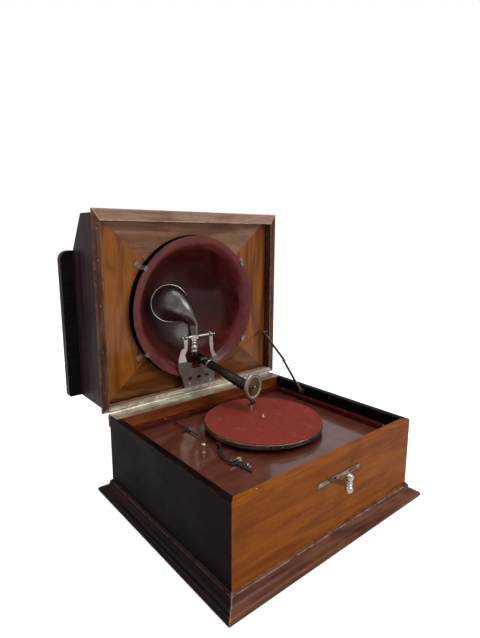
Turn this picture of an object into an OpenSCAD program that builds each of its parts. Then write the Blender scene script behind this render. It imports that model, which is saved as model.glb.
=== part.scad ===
// Lidded table gramophone: a wooden case holds the motor and the turntable, and the
// hinged lid holds a spun bowl that the tonearm's bell plays into.
// X runs right along the front, Y runs to the back, Z is up. The origin is at the
// centre of the case, at the height of the table it stands on.

/* [Case] */
// Width of the case over its walls
case_w = 456; // [420:1:500]
// Depth of the case over its walls
case_d = 392; // [370:1:430]
// Height of the case rim above the table
case_h = 169; // [165:1:190]
// Thickness of the case walls
wall_t = 13; // [10:1:16]
// Thickness of the base board
base_t = 9; // [6:1:12]
// Height of the plinth moulding
plinth_h = 31; // [24:1:40]
// How far the plinth stands out from the walls
plinth_out = 23.4; // [18:0.2:30]
// Height of the motor board's top face
board_z = 136; // [132:1:137]
// Thickness of the motor board
board_t = 12; // [8:1:14]
// Depth of the separate front board
front_board_d = 78; // [60:1:90]
// Width of the cleats round the board
cleat_w = 12; // [8:1:16]
// Height of the cleats above the board
cleat_h = 10; // [6:1:12]
// Height of the ledger strips under the board
ledger_h = 14; // [10:1:18]
// Thickness of the hinge rail inside the rear wall
rail_in = 15; // [10:1:18]
// How far the hinge rail stands out at the back
rail_out = 7.5; // [6:0.5:8]
// Height of the hinge rail
rail_h = 24; // [20:1:30]

/* [Turntable] */
// Radius of the turntable platter
platter_r = 122; // [110:1:126]
// X place of the spindle
spindle_x = 26; // [20:1:32]
// Y place of the spindle
spindle_y = 16; // [10:1:20]
// Underside of the platter rim above the board
platter_lift = 9; // [8:0.5:10]
// Height of the platter rim
platter_rim_h = 9; // [7:0.5:9]
// Thickness of the platter sheet
platter_t = 1.6; // [1:0.1:2.4]
// Thickness of the felt mat
felt_t = 1.4; // [1:0.1:1.8]
// Radius of the spindle
spindle_r = 3.6; // [3:0.1:4.2]
// Height of the spindle tip above the mat
spindle_up = 9; // [6:0.5:11]

/* [Lid] */
// Gap between the case rim and the closed lid
lid_gap = 1; // [0.8:0.1:1.6]
// Height of the hinge axis above the case rim
hinge_up = 0; // [0:0.1:0.4]
// Radius of the hinge knuckles
knuckle_r = 2.2; // [1.8:0.1:2.4]
// Radius of the hinge pin
pin_r = 1; // [0.8:0.1:1.2]
// Radial clearance of the running shafts and pins
run_gap = 0.06; // [0.03:0.01:0.09]
// Thickness of the hinge leaves
leaf_t = 0.8; // [0.6:0.1:0.9]
// Length of the lid from hinge side to front, measured open
lid_len = 406.5; // [400:0.5:415]
// Overhang of the lid's mouth at the sides
mouth_side = 10; // [8:1:12]
// Overhang of the lid's mouth at its free end
mouth_end = 7; // [5:1:9]
// Overhang of the lid's mouth at the hinge
mouth_root = 2; // [1:0.5:3]
// Depth of the mouth frame
mouth_d = 15; // [12:1:18]
// Thickness of the lid walls
lid_t = 6; // [5:0.5:8]
// Depth of the lid body behind its mouth
lid_deep = 135; // [130:1:145]
// Height of the lid's free end before the slope starts
lid_nose = 83; // [75:1:95]
// Length of the slope along the lid
slope_len = 74; // [60:1:90]
// Thickness of the board on the lid's back
top_board_t = 18; // [12:1:22]
// Overhang of the top board at the sides
top_board_out = 28; // [20:1:32]
// Corner radius of the top board at its free end
top_board_r = 20; // [10:1:30]
// Depth of the veneer panels below the mouth
panel_deep = 20; // [18:1:24]
// Thickness of the veneer panels
panel_t = 4; // [3:0.5:6]

/* [Bowl] */
// Rim radius of the bowl
bowl_r = 160; // [150:1:164]
// Height of the bowl's centre above the hinge axis
bowl_up = 197; // [192:1:202]
// Depth of the bowl
bowl_deep = 110; // [100:1:112]
// Depth of the bowl's flared flange
flange_deep = 20; // [14:1:24]
// Radius where the flange meets the bowl
throat_r = 132; // [124:1:138]
// Thickness of the bowl's sheet
bowl_t = 1.6; // [1.2:0.1:2.4]
// Gap between the bowl's rim and the hole in the panels
bowl_hole_gap = 2; // [1:0.5:4]

/* [Tonearm] */
// Y distance from the hinge axis to the ears of the bracket
ear_y = 18; // [17:0.5:20]
// Height of the ears above the hinge axis
ear_up = 127; // [122:1:132]
// Y distance from the hinge axis to the arm's vertical pivot
pivot_y = 25; // [24:0.5:27]
// Radius of the gooseneck tube
neck_r = 10.8; // [9:0.2:12]
// How much the gooseneck widens before it sweeps aside
sweep_grow = 2; // [0.5:0.25:3]
// Rim radius of the bell
bell_r = 43.5; // [38:0.5:45]
// X place of the knuckle that folds the arm
fold_x = 7; // [4:1:9]
// Y distance from the hinge axis to the knuckle
fold_y = -1; // [-2:0.5:0]
// Height of the knuckle above the hinge axis
fold_up = 74; // [70:1:78]
// Radius of the elbow and of the arm tube where it leaves it
arm_r = 9.2; // [8:0.2:9.6]
// Radius of the arm tube at the soundbox
arm_end_r = 12; // [10.5:0.25:12.5]
// X place of the soundbox
box_x = 40; // [36:1:44]
// Y place of the soundbox
box_y = 62; // [58:1:66]
// Height of the soundbox above the hinge axis
box_up = 39; // [38:1:42]
// Radius of the soundbox
box_r = 30; // [26:1:31]

/* [Controls] */
// X place of the guide plate's middle on the front
guide_x = 7; // [-20:1:20]
// Length of the guide plate
guide_len = 111; // [90:1:120]
// Height of the guide plate's middle
guide_z = 126.5; // [124:0.5:130]
// X place of the front lever
lever_x = -19; // [-21:1:-17]
// How far the front lever reaches out
lever_out = 40; // [30:1:50]
// Height of the winding shaft
crank_z = 95; // [92:1:98]
// Length of the crank arm
crank_len = 75; // [60:1:80]
// X place of the brake pivot
brake_x = -113; // [-118:1:-108]
// Y place of the brake pivot
brake_y = -68; // [-72:1:-62]

/* [Lid stay] */
// Y place of the stay's lower pivot
stay_y = 82; // [70:1:95]
// Height of the stay's lower pivot below the rim
stay_down = 13; // [10:1:16]
// Y distance from the hinge axis to the stay's upper pivot
stay_top_y = 13; // [11:0.5:15]
// Height of the stay's upper pivot above the hinge axis
stay_top_up = 109; // [100:1:118]
// Length of the stay's lower link
lower_l = 86; // [84:0.5:88]
// How much longer the two links are than the straight line between their ends
stay_slack = 0.6; // [0.4:0.1:1]
// Width of the stay links
stay_w = 8; // [6:0.5:9]

/* [Hidden] */
$fn = 48;

in_x = case_w / 2 - wall_t;
in_y = case_d / 2 - wall_t;
rim_z = case_h;
hinge_y = case_d / 2 + 10;
hinge_z = case_h + hinge_up;
mouth_y = hinge_y + lid_gap;
board_split_y = -in_y + front_board_d;
rail_y = in_y - rail_in;
touch = 0.3;

module at_hinge() {
  translate([0, hinge_y, hinge_z]) children();
}

function arc_pts(c, rx, ry, a0, a1, n) =
  [for (i = [0:n]) let (a = a0 + (a1 - a0) * i / n) [c[0] + rx * cos(a), c[1] + ry * sin(a)]];

// Case joinery. Each wall is a mitred board, drawn in plan.
module mitred_wall(half, face, t, z0, z1) {
  translate([0, 0, z0])
    linear_extrude(z1 - z0)
      polygon([[-half, -face], [half, -face], [half - t, -face + t], [-half + t, -face + t]]);
}

module leaf_recess() {
  translate([-leaf_half - touch, leaf_y0 - touch, case_h - leaf_t])
    cube([2 * leaf_half + 2 * touch, 40, leaf_t + 1]);
}

module case_front() {
  color([0.45, 0.22, 0.08])
    difference() {
      mitred_wall(case_w / 2, case_d / 2, wall_t, 0, case_h);
      translate([lever_x + slot_shift, -case_d / 2 + wall_t / 2, slot_z])
        cube([slot_len, wall_t + 2, slot_h], center = true);
    }
}

module case_rear() {
  color([0.3, 0.12, 0.07])
    rotate([0, 0, 180])
      mitred_wall(case_w / 2, case_d / 2, wall_t, 0, case_h - rail_h);
}

module case_sides() {
  color([0.28, 0.1, 0.07]) {
    difference() {
      rotate([0, 0, 90])
        mitred_wall(case_d / 2, case_w / 2, wall_t, 0, case_h);
      translate([case_w / 2 - wall_t - 1, spindle_y, crank_z])
        rotate([0, 90, 0]) cylinder(r = bush_r, h = wall_t + 2);
      leaf_recess();
    }
    difference() {
      rotate([0, 0, -90])
        mitred_wall(case_d / 2, case_w / 2, wall_t, 0, case_h);
      leaf_recess();
    }
  }
}

module hinge_rail() {
  color([0.42, 0.2, 0.1])
    difference() {
      translate([0, 0, case_h - rail_h])
        linear_extrude(rail_h)
          polygon([
            [-in_x, rail_y], [in_x, rail_y], [in_x, in_y],
            [case_w / 2, case_d / 2], [case_w / 2, case_d / 2 + rail_out],
            [-case_w / 2, case_d / 2 + rail_out], [-case_w / 2, case_d / 2], [-in_x, in_y]
          ]);
      leaf_recess();
      at_hinge()
        rotate([0, 90, 0]) cylinder(r = knuckle_r + touch, h = case_w + 2, center = true);
    }
}

module base_board() {
  color([0.35, 0.2, 0.12])
    translate([-in_x, -in_y, 0]) cube([2 * in_x, 2 * in_y, base_t]);
}

// Plinth moulding: a bead, a hollow and a rounded nose, as [out from the wall, height].
nose_r = 6.5;
nose_x = plinth_out - 6.4;
bead_r = 3.5;
hollow_top = plinth_h - bead_r - 1.5;
plinth_pts = concat(
  [[0, 0]],
  arc_pts([nose_x, nose_r], 6.4, nose_r, -90, 90, 12),
  arc_pts([nose_x, hollow_top], nose_x - bead_r - 1.5, hollow_top - 2 * nose_r, 262, 180, 8),
  [[bead_r + 1.5, hollow_top + 1.5], [bead_r, hollow_top + 1.5]],
  arc_pts([0, plinth_h - bead_r], bead_r, bead_r, 0, 90, 6)
);

module plinth_rail(half, face) {
  intersection() {
    translate([-half - plinth_out - 1, -face, 0])
      rotate([90, 0, 90]) mirror([1, 0, 0])
        linear_extrude(2 * (half + plinth_out + 1)) polygon(plinth_pts);
    linear_extrude(plinth_h)
      polygon([
        [-half, -face], [half, -face],
        [half + plinth_out, -face - plinth_out], [-half - plinth_out, -face - plinth_out]
      ]);
  }
}

module plinth_front() {
  color([0.32, 0.14, 0.1]) plinth_rail(case_w / 2, case_d / 2);
}

module plinth_rear() {
  color([0.32, 0.14, 0.1]) rotate([0, 0, 180]) plinth_rail(case_w / 2, case_d / 2);
}

module plinth_sides() {
  color([0.28, 0.12, 0.09])
    for (a = [90, -90])
      rotate([0, 0, a]) plinth_rail(case_d / 2, case_w / 2);
}

// Motor board, its front board, the cleats round them and the ledgers below.
module motor_board() {
  color([0.3, 0.1, 0.08])
    difference() {
      translate([-in_x, board_split_y, board_z - board_t])
        cube([2 * in_x, rail_y - board_split_y, board_t]);
      translate([spindle_x, spindle_y, board_z - board_t - 1])
        cylinder(r = spindle_r + 3, h = board_t + 2);
    }
}

module front_board() {
  color([0.28, 0.09, 0.07])
    difference() {
      translate([-in_x, -in_y, board_z - board_t])
        cube([2 * in_x, front_board_d, board_t]);
      translate([lever_x + slot_shift - slot_len / 2 - 1, -in_y - 1, board_z - board_t - 1])
        cube([slot_len + 2, lever_tail + 4, slot_z + 2 + touch + 1 - board_z + board_t]);
    }
}

module board_cleats() {
  color([0.33, 0.13, 0.11]) {
    for (s = [0, 1])
      mirror([s, 0, 0])
        translate([in_x - cleat_w, -in_y, board_z])
          cube([cleat_w, rail_y + in_y, cleat_h]);
    translate([-in_x + cleat_w, rail_y - cleat_w, board_z])
      cube([2 * (in_x - cleat_w), cleat_w, cleat_h]);
  }
}

module board_ledgers() {
  color([0.4, 0.25, 0.15]) {
    for (s = [0, 1])
      mirror([s, 0, 0])
        translate([in_x - cleat_w, -in_y + cleat_w, board_z - board_t - ledger_h])
          cube([cleat_w, 2 * (in_y - cleat_w), ledger_h]);
    translate([-in_x, in_y - cleat_w, board_z - board_t - ledger_h])
      cube([2 * in_x, cleat_w, ledger_h]);
    translate([-in_x, board_split_y - cleat_w, board_z - board_t - ledger_h])
      cube([2 * in_x - cleat_w, 2 * cleat_w, ledger_h]);
  }
}

// Continuous hinge. Knuckles of the two leaves alternate along one pin.
leaf_half = 224;
leaf_y0 = rail_y + 3;
knuckles = 15;
knuckle_l = 2 * leaf_half / knuckles;

module knuckle_row(first) {
  for (i = [first:2:knuckles - 1])
    translate([-leaf_half + i * knuckle_l + 0.1, 0, 0])
      rotate([0, 90, 0]) cylinder(r = knuckle_r, h = knuckle_l - 0.2);
}

module knuckle_room(first) {
  for (i = [first:2:knuckles - 1])
    translate([-leaf_half + i * knuckle_l - 0.1, 0, 0])
      rotate([0, 90, 0]) cylinder(r = knuckle_r + touch, h = knuckle_l + 0.2);
}

module hinge_lower_leaf() {
  color([0.6, 0.58, 0.53])
    union() {
      difference() {
        union() {
          translate([-leaf_half, leaf_y0, case_h - leaf_t])
            cube([2 * leaf_half, hinge_y - leaf_y0, leaf_t]);
          at_hinge() knuckle_row(0);
        }
        at_hinge() knuckle_room(1);
      }
      at_hinge() rotate([0, 90, 0]) cylinder(r = pin_r, h = 2 * leaf_half, center = true);
    }
}

module hinge_upper_leaf() {
  color([0.66, 0.64, 0.58])
    difference() {
      union() {
        translate([-leaf_half, mouth_y - leaf_t, hinge_z])
          cube([2 * leaf_half, leaf_t, 14]);
        at_hinge() knuckle_row(1);
      }
      at_hinge() knuckle_room(0);
      at_hinge()
        rotate([0, 90, 0]) cylinder(r = pin_r + run_gap, h = case_w, center = true);
    }
}

// Guide plate on the front and the lever that slides in it.
slot_h = 4;
slot_z = guide_z;
slot_travel = 16;
slot_shift = slot_travel / 2;
slot_len = slot_travel + 3.6;
guide_t = 1.6;
guide_h = 7;
lever_tail = 11;

module guide_plate() {
  color([0.45, 0.43, 0.38])
    difference() {
      translate([guide_x, -case_d / 2 - guide_t / 2, guide_z])
        cube([guide_len, guide_t, guide_h], center = true);
      for (x = [lever_x + slot_shift, guide_x + guide_len / 2 - 20])
        translate([x, -case_d / 2 - guide_t / 2, slot_z])
          cube([slot_len, guide_t + 2, slot_h], center = true);
      for (s = [-1, 1])
        translate([guide_x + s * (guide_len / 2 - 5), -case_d / 2, guide_z])
          rotate([90, 0, 0]) cylinder(r = 1.8, h = 10, center = true);
    }
}

module guide_screws() {
  color([0.5, 0.46, 0.4])
    for (s = [-1, 1])
      translate([guide_x + s * (guide_len / 2 - 5), -case_d / 2, guide_z])
        rotate([90, 0, 0]) {
          cylinder(r = 1.7, h = guide_t);
          translate([0, 0, guide_t]) cylinder(r1 = 3.2, r2 = 2, h = 1.2);
        }
}

module front_lever() {
  tip_y = -case_d / 2 - lever_out;
  color([0.4, 0.37, 0.33])
    translate([lever_x, 0, 0]) {
      translate([-1.5, -in_y - 1, slot_z - 1.7]) cube([3, lever_tail + 1, 3.4]);
      translate([-1.5, -case_d / 2 - guide_t - 0.5, slot_z - 1.7])
        cube([3, wall_t + guide_t + 1, 3.4]);
      translate([-1.5, 0, 0])
        rotate([90, 0, 90])
          linear_extrude(3)
            polygon([
              [-case_d / 2 - guide_t - 0.5, slot_z - 1.7], [-case_d / 2 - guide_t - 0.5, slot_z + 4.5],
              [tip_y, guide_z + 18], [tip_y, guide_z + 7]
            ]);
      translate([0, tip_y, guide_z + 13])
        rotate_extrude()
          polygon(concat(
            [[0, -17.2]],
            arc_pts([0, -10.5], 6.7, 6.7, -80, 52, 10),
            [[3.4, -4.2], [5.4, -3], [5.4, -1.4], [3.6, 0], [5.4, 1.4], [5.4, 3], [3.4, 4.2]],
            arc_pts([0, 10.5], 6.7, 6.7, -52, 80, 10),
            [[0, 17.2]]
          ));
    }
}

// Motor: a plate under the board, a bridge below it and three arbors between them.
plate_z1 = board_z - board_t - 13;
plate_z0 = plate_z1 - 3;
bridge_z0 = 38;
bridge_z1 = 41;
module_mm = 1;
spindle_teeth = 12;
second_teeth = 72;
pinion_teeth = 16;
barrel_teeth = 80;
second_x = spindle_x + module_mm * (spindle_teeth + second_teeth) / 2;
barrel_x = second_x + module_mm * (pinion_teeth + barrel_teeth) / 2;
shaft_r = 4;
arbor_r = 3;
pillar_r = 5;
plate_x0 = spindle_x - 46;
plate_past = 50;
tab_y = 50;
plate_l = barrel_x + plate_past - plate_x0;
pillars = [
  [plate_x0 + 10, spindle_y - 52], [plate_x0 + 10, spindle_y + 52],
  [barrel_x + 40, spindle_y - 52], [barrel_x + 40, spindle_y + 52]
];
bush_r = 7;
worm_r = 4.5;
worm_wheel_r = 20;
worm_x = spindle_x - worm_wheel_r - worm_r - touch;
worm_z = 82;

module spur(teeth, h, bore) {
  pitch_r = module_mm * teeth / 2;
  root_r = pitch_r - 1.1 * module_mm;
  tip_r = pitch_r + 0.8 * module_mm;
  half = 90 / teeth;
  difference() {
    linear_extrude(h)
      polygon([
        for (i = [0:teeth - 1])
          for (p = [[-1.02, root_r], [-0.3, tip_r], [0.3, tip_r], [1.02, root_r]])
            let (a = i * 360 / teeth + p[0] * half)
              [p[1] * cos(a), p[1] * sin(a)]
      ]);
    if (bore > 0)
      translate([0, 0, -1]) cylinder(r = bore, h = h + 2);
  }
}

module motor_plate() {
  color([0.55, 0.55, 0.52])
    difference() {
      union() {
        translate([plate_x0, spindle_y - 62, plate_z0])
          cube([plate_l, 124, plate_z1 - plate_z0]);
        for (y = [-tab_y, tab_y])
          translate([worm_x, spindle_y + y, (worm_z + plate_z0) / 2])
            cube([8, 4, plate_z0 - worm_z + 10], center = true);
        translate([barrel_x + 36, spindle_y, (crank_z - 8 + plate_z0) / 2])
          cube([4, 18, plate_z0 - crank_z + 8], center = true);
      }
      translate([spindle_x, spindle_y, plate_z0 - 1])
        cylinder(r = spindle_r + run_gap, h = 10);
      for (x = [second_x, barrel_x])
        translate([x, spindle_y, plate_z0 - 1])
          cylinder(r = arbor_r + run_gap, h = 10);
      for (p = pillars)
        translate([p[0], p[1], plate_z0 - 1]) cylinder(r = pillar_r, h = 10);
      translate([worm_x, spindle_y, worm_z])
        rotate([90, 0, 0]) cylinder(r = 2 + run_gap, h = 130, center = true);
      translate([barrel_x + 30, spindle_y, crank_z])
        rotate([0, 90, 0]) cylinder(r = shaft_r + run_gap, h = 12);
    }
}

module motor_bridge() {
  color([0.5, 0.5, 0.47])
    difference() {
      translate([plate_x0, spindle_y - 62, bridge_z0])
        cube([plate_l, 124, bridge_z1 - bridge_z0]);
      translate([spindle_x, spindle_y, bridge_z0 - 1])
        cylinder(r = spindle_r + run_gap, h = 10);
      for (x = [second_x, barrel_x])
        translate([x, spindle_y, bridge_z0 - 1])
          cylinder(r = arbor_r + run_gap, h = 10);
      for (p = pillars)
        translate([p[0], p[1], bridge_z0 - 1]) cylinder(r = pillar_r, h = 10);
    }
}

module motor_pillars() {
  color([0.5, 0.48, 0.42])
    for (p = pillars)
      translate([p[0], p[1], bridge_z0 - 2])
        cylinder(r = pillar_r, h = board_z - board_t - bridge_z0 + 2);
}

barrel_z0 = 46;
barrel_z1 = 78;
barrel_r = 36;

module spring_barrel() {
  color([0.62, 0.5, 0.25])
    translate([barrel_x, spindle_y, 0])
      difference() {
        union() {
          translate([0, 0, barrel_z0]) cylinder(r = barrel_r, h = barrel_z1 - barrel_z0);
          translate([0, 0, 62]) rotate([0, 0, 180 / barrel_teeth]) spur(barrel_teeth, 5, 0);
        }
        translate([0, 0, barrel_z0 - 1]) cylinder(r = arbor_r + 3 + run_gap, h = 50);
        translate([0, 0, barrel_z0 - 1])
          cylinder(r = barrel_r - 2, h = barrel_z1 - barrel_z0 - 1);
      }
}

module mainspring() {
  spring_r = 6.5;
  turns = 8;
  pitch = (barrel_r - 4 - spring_r) / turns;
  color([0.25, 0.27, 0.32])
    translate([barrel_x, spindle_y, barrel_z0 + 2])
      linear_extrude(barrel_z1 - barrel_z0 - 6)
        polygon(concat(
          [for (i = [0:24 * turns]) let (a = i * 15, r = spring_r + pitch * i / 24)
            [r * cos(a), r * sin(a)]],
          [for (i = [24 * turns:-1:0]) let (a = i * 15, r = spring_r + 0.7 + pitch * i / 24)
            [r * cos(a), r * sin(a)]]
        ));
}

wheel_r = 20;
bevel_r = 10;

module winding_arbor() {
  color([0.6, 0.58, 0.5])
    translate([barrel_x, spindle_y, 0]) {
      translate([0, 0, bridge_z0]) cylinder(r = arbor_r, h = plate_z1 - bridge_z0);
      translate([0, 0, barrel_z0]) cylinder(r = arbor_r + 3, h = barrel_z1 - barrel_z0 + 1);
      translate([0, 0, crank_z - bevel_r - 5 - touch]) cylinder(r = wheel_r, h = 5);
      translate([0, 0, crank_z - bevel_r - touch])
        cylinder(r1 = wheel_r, r2 = wheel_r - 6, h = 3);
    }
}

module second_wheel() {
  color([0.62, 0.5, 0.25])
    translate([second_x, spindle_y, 0]) {
      translate([0, 0, bridge_z0]) cylinder(r = arbor_r, h = plate_z1 - bridge_z0);
      translate([0, 0, 60]) spur(pinion_teeth, 9, 0);
      translate([0, 0, 98]) spur(second_teeth, 5, 0);
    }
}

module governor() {
  color([0.62, 0.5, 0.25])
    translate([worm_x, spindle_y, worm_z])
      rotate([90, 0, 0]) {
        cylinder(r = 2, h = 110, center = true);
        cylinder(r = worm_r, h = 16, center = true);
        translate([0, 0, -44]) cylinder(r = 14, h = 2);
        for (z = [-30, -42])
          translate([0, 0, z - 3]) cylinder(r = 5, h = 6);
        for (a = [0, 120, 240])
          rotate([0, 0, a]) {
            translate([4.5, -2, -43]) cube([5, 4, 1.5]);
            translate([4.5, -2, -31]) cube([5, 4, 1.5]);
            translate([9, -2, -43]) cube([0.8, 4, 13.5]);
            translate([11.5, 0, -36.5]) sphere(r = 3.6);
          }
      }
}

// Turntable: spindle, spun platter with its turned-down rim, and the felt mat.
platter_z0 = board_z + platter_lift;
platter_z1 = platter_z0 + platter_rim_h;
felt_z = platter_z1 + felt_t;

module spindle() {
  color([0.72, 0.68, 0.58])
    translate([spindle_x, spindle_y, 0]) {
      translate([0, 0, bridge_z0]) cylinder(r = spindle_r, h = felt_z + 3 - bridge_z0);
      translate([0, 0, felt_z + 3])
        cylinder(r1 = spindle_r, r2 = 1.6, h = spindle_up - 4);
      translate([0, 0, felt_z + spindle_up - 1]) sphere(r = 1.6);
      translate([0, 0, 97]) rotate([0, 0, 180 / spindle_teeth]) spur(spindle_teeth, 7, 0);
      translate([0, 0, worm_z - 3]) cylinder(r = worm_wheel_r, h = 6);
      translate([0, 0, board_z + 2]) cylinder(r = 9, h = platter_z1 - platter_t - board_z - 2);
    }
}

module platter() {
  color([0.3, 0.29, 0.27])
    translate([spindle_x, spindle_y, 0])
      rotate_extrude($fn = 96)
        polygon(concat(
          [[spindle_r, platter_z1 - platter_t], [spindle_r, platter_z1], [platter_r - 2, platter_z1]],
          arc_pts([platter_r - 2, platter_z1 - 2], 2, 2, 80, 0, 5),
          [[platter_r, platter_z0 + 0.6], [platter_r - 0.6, platter_z0]],
          [[platter_r - platter_t, platter_z0], [platter_r - platter_t, platter_z1 - platter_t]]
        ));
}

module felt_mat() {
  color([0.55, 0.14, 0.12])
    translate([spindle_x, spindle_y, platter_z1])
      rotate_extrude($fn = 96)
        polygon([
          [spindle_r + 0.4, 0], [platter_r - 1.5, 0],
          [platter_r - 1.5, felt_t - 0.3], [platter_r - 1.8, felt_t], [spindle_r + 0.4, felt_t]
        ]);
}

// Winding crank on the right side.
crank_x = case_w / 2 + plinth_out + 5;

module crank_escutcheon() {
  color([0.55, 0.5, 0.38])
    difference() {
      translate([case_w / 2, spindle_y, crank_z])
        rotate([0, 90, 0]) {
          cylinder(r = 17, h = 2);
          translate([0, 0, -wall_t]) cylinder(r = bush_r, h = wall_t + 5);
        }
      translate([case_w / 2, spindle_y, crank_z])
        rotate([0, 90, 0]) cylinder(r = shaft_r + run_gap, h = 60, center = true);
    }
}

module crank() {
  color([0.66, 0.64, 0.6])
    translate([0, spindle_y, crank_z])
      rotate([0, 90, 0]) {
        translate([0, 0, barrel_x + wheel_r - 6 + touch])
          cylinder(r1 = bevel_r - 3, r2 = bevel_r, h = 6);
        translate([0, 0, barrel_x + wheel_r + touch]) cylinder(r = bevel_r, h = 5);
        translate([0, 0, barrel_x + wheel_r])
          cylinder(r = shaft_r, h = crank_x - barrel_x - wheel_r + 1);
        translate([0, 0, crank_x]) {
          cylinder(r = 8, h = 7);
          translate([0, -4.5, 0]) cube([crank_len, 9, 5]);
          translate([crank_len, 0, 0]) {
            cylinder(r = 7, h = 5);
            cylinder(r = 3, h = 62);
            translate([0, 0, 60.5]) cylinder(r = 5.5, h = 2.5);
          }
        }
      }
}

module crank_grip() {
  color([0.25, 0.12, 0.08])
    translate([crank_x + 5.5, spindle_y, crank_z - crank_len])
      rotate([0, 90, 0])
        rotate_extrude()
          polygon(concat(
            [[3 + run_gap, 0], [7, 0]],
            arc_pts([4, 27], 6, 26, -78, 78, 12),
            [[6.5, 54.5], [3 + run_gap, 54.5]]
          ));
}

// Controls on the motor board.
module brake_lever() {
  color([0.2, 0.19, 0.18])
    translate([brake_x, brake_y, board_z]) {
      cylinder(r = 3, h = 2);
      translate([0, 0, 2])
        linear_extrude(1.6)
          polygon([
            [-2, -40], [2, -40], [5, -4], [5, 5], [-8, 6], [-4, 30], [6.5, 59],
            [1.5, 61], [-10, 33], [-14, 6], [-12, -2], [-5, -4]
          ]);
      translate([4, 60, 3.6]) rotate([0, 0, 20]) translate([-2, -5, 0]) cube([3, 7, 12]);
      translate([0, 0, 3.6]) cylinder(r = 3.4, h = 1.4);
    }
}

module brake_clip() {
  color([0.72, 0.7, 0.66])
    translate([brake_x, brake_y, board_z]) {
      translate([11, -20, 0]) cylinder(r = 3.6, h = 1.2);
      translate([11, -14, 1.2]) cylinder(r = 2.6, h = 1.8);
      translate([9.5, -14, 0]) cube([3, 16, 1.2]);
      translate([8, 2, 0]) cube([3.5, 5, 8.5]);
      translate([-12, 2, 7]) cube([23.5, 5, 1.5]);
    }
}

speed_at = [-106, 105];
peg_at = [-134, 3];

module speed_lever() {
  color([0.22, 0.2, 0.19])
    translate([speed_at[0], speed_at[1], board_z]) {
      cylinder(r = 2.4, h = 5);
      translate([0, 0, 3.5]) rotate([90, 0, 0]) cylinder(r = 1.3, h = 84, center = true);
      translate([-11, -6, 1.6]) rotate([0, 0, 32]) translate([-2, -2, 0]) cube([26, 4, 1.6]);
      translate([-4, -12, 1.6]) cube([8, 14, 1.6]);
    }
}

module speed_peg() {
  color([0.68, 0.66, 0.62])
    translate([peg_at[0], peg_at[1], board_z])
      rotate_extrude()
        polygon(concat(
          [[0, 0], [4.4, 0], [4.4, 1.2], [1.7, 2.4], [1.7, 10.5]],
          arc_pts([0, 14.4], 4.6, 4.2, -68, 90, 8)
        ));
}

// Lid. Outer and inner outlines of its side view, as [Y, Z], share mitred corners.
lid_z0 = hinge_z + knuckle_r + touch;
mouth_z1 = lid_z0 + lid_len;
body_z0 = lid_z0 + mouth_root;
body_z1 = mouth_z1 - mouth_end;
body_y0 = mouth_y + mouth_d;
body_y1 = mouth_y + lid_deep;
nose_y = mouth_y + lid_nose;
slope_z = body_z1 - slope_len;
slope_run = body_y1 - nose_y;
slope_l = sqrt(slope_run * slope_run + slope_len * slope_len);
in_slope_z = slope_z - lid_t * (slope_l - slope_len) / slope_run;
in_nose_y = nose_y - lid_t * (slope_l - slope_run) / slope_len;
out_pts = [[body_y0, body_z0], [body_y1, body_z0], [body_y1, slope_z], [nose_y, body_z1], [body_y0, body_z1]];
in_pts = [
  [body_y0, body_z0 + lid_t], [body_y1 - lid_t, body_z0 + lid_t], [body_y1 - lid_t, in_slope_z],
  [in_nose_y, body_z1 - lid_t], [body_y0, body_z1 - lid_t]
];
lid_in_x = case_w / 2 - lid_t;

module along_x(x0, x1) {
  translate([x0, 0, 0]) rotate([90, 0, 90]) linear_extrude(x1 - x0) children();
}

module lid_board(i) {
  along_x(-lid_in_x, lid_in_x)
    polygon([out_pts[i], out_pts[i + 1], in_pts[i + 1], in_pts[i]]);
}

module lid_sides() {
  color([0.26, 0.09, 0.06])
    for (s = [0, 1])
      mirror([s, 0, 0]) along_x(lid_in_x, case_w / 2) polygon(out_pts);
}

module lid_rear_wall() {
  color([0.26, 0.1, 0.07]) lid_board(0);
}

module lid_back() {
  color([0.26, 0.1, 0.07]) lid_board(1);
}

module lid_slope() {
  color([0.26, 0.1, 0.07]) lid_board(2);
}

module lid_front_wall() {
  color([0.3, 0.13, 0.08]) lid_board(3);
}

module top_board() {
  half = case_w / 2 + top_board_out;
  z0 = body_z0 + 0.5;
  z1 = slope_z - 2;
  small_r = 5;
  color([0.15, 0.08, 0.06])
    translate([0, body_y1 + top_board_t, 0])
      rotate([90, 0, 0])
        linear_extrude(top_board_t)
          polygon(concat(
            arc_pts([half - small_r, z0 + small_r], small_r, small_r, -90, 0, 6),
            arc_pts([half - top_board_r, z1 - top_board_r], top_board_r, top_board_r, 0, 90, 10),
            arc_pts([-half + top_board_r, z1 - top_board_r], top_board_r, top_board_r, 90, 180, 10),
            arc_pts([-half + small_r, z0 + small_r], small_r, small_r, 180, 270, 6)
          ));
}

// Mouth frame: mitred mouldings with a flat face and a hollow under the lip.
mouth_in_x = lid_in_x;
mouth_in_z0 = body_z0 + 9.5;
mouth_in_z1 = body_z1 - 16;
mouth_out_x = case_w / 2 + mouth_side;

// Points are [out from the opening, back from the mouth plane].
function lip_pts(w, over) = concat(
  [[0, 0], [w - 1.2, 0], [w, 1.2], [w, 4]],
  [for (i = [0:8]) let (a = 90 * i / 8) [w - over * sin(a), mouth_d - (mouth_d - 5) * cos(a)]],
  [[0, mouth_d]]
);

module mouth_member(quad) {
  intersection() {
    translate([0, mouth_y, 0])
      rotate([-90, 0, 0]) mirror([0, 1, 0]) linear_extrude(mouth_d) polygon(quad);
    children();
  }
}

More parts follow.
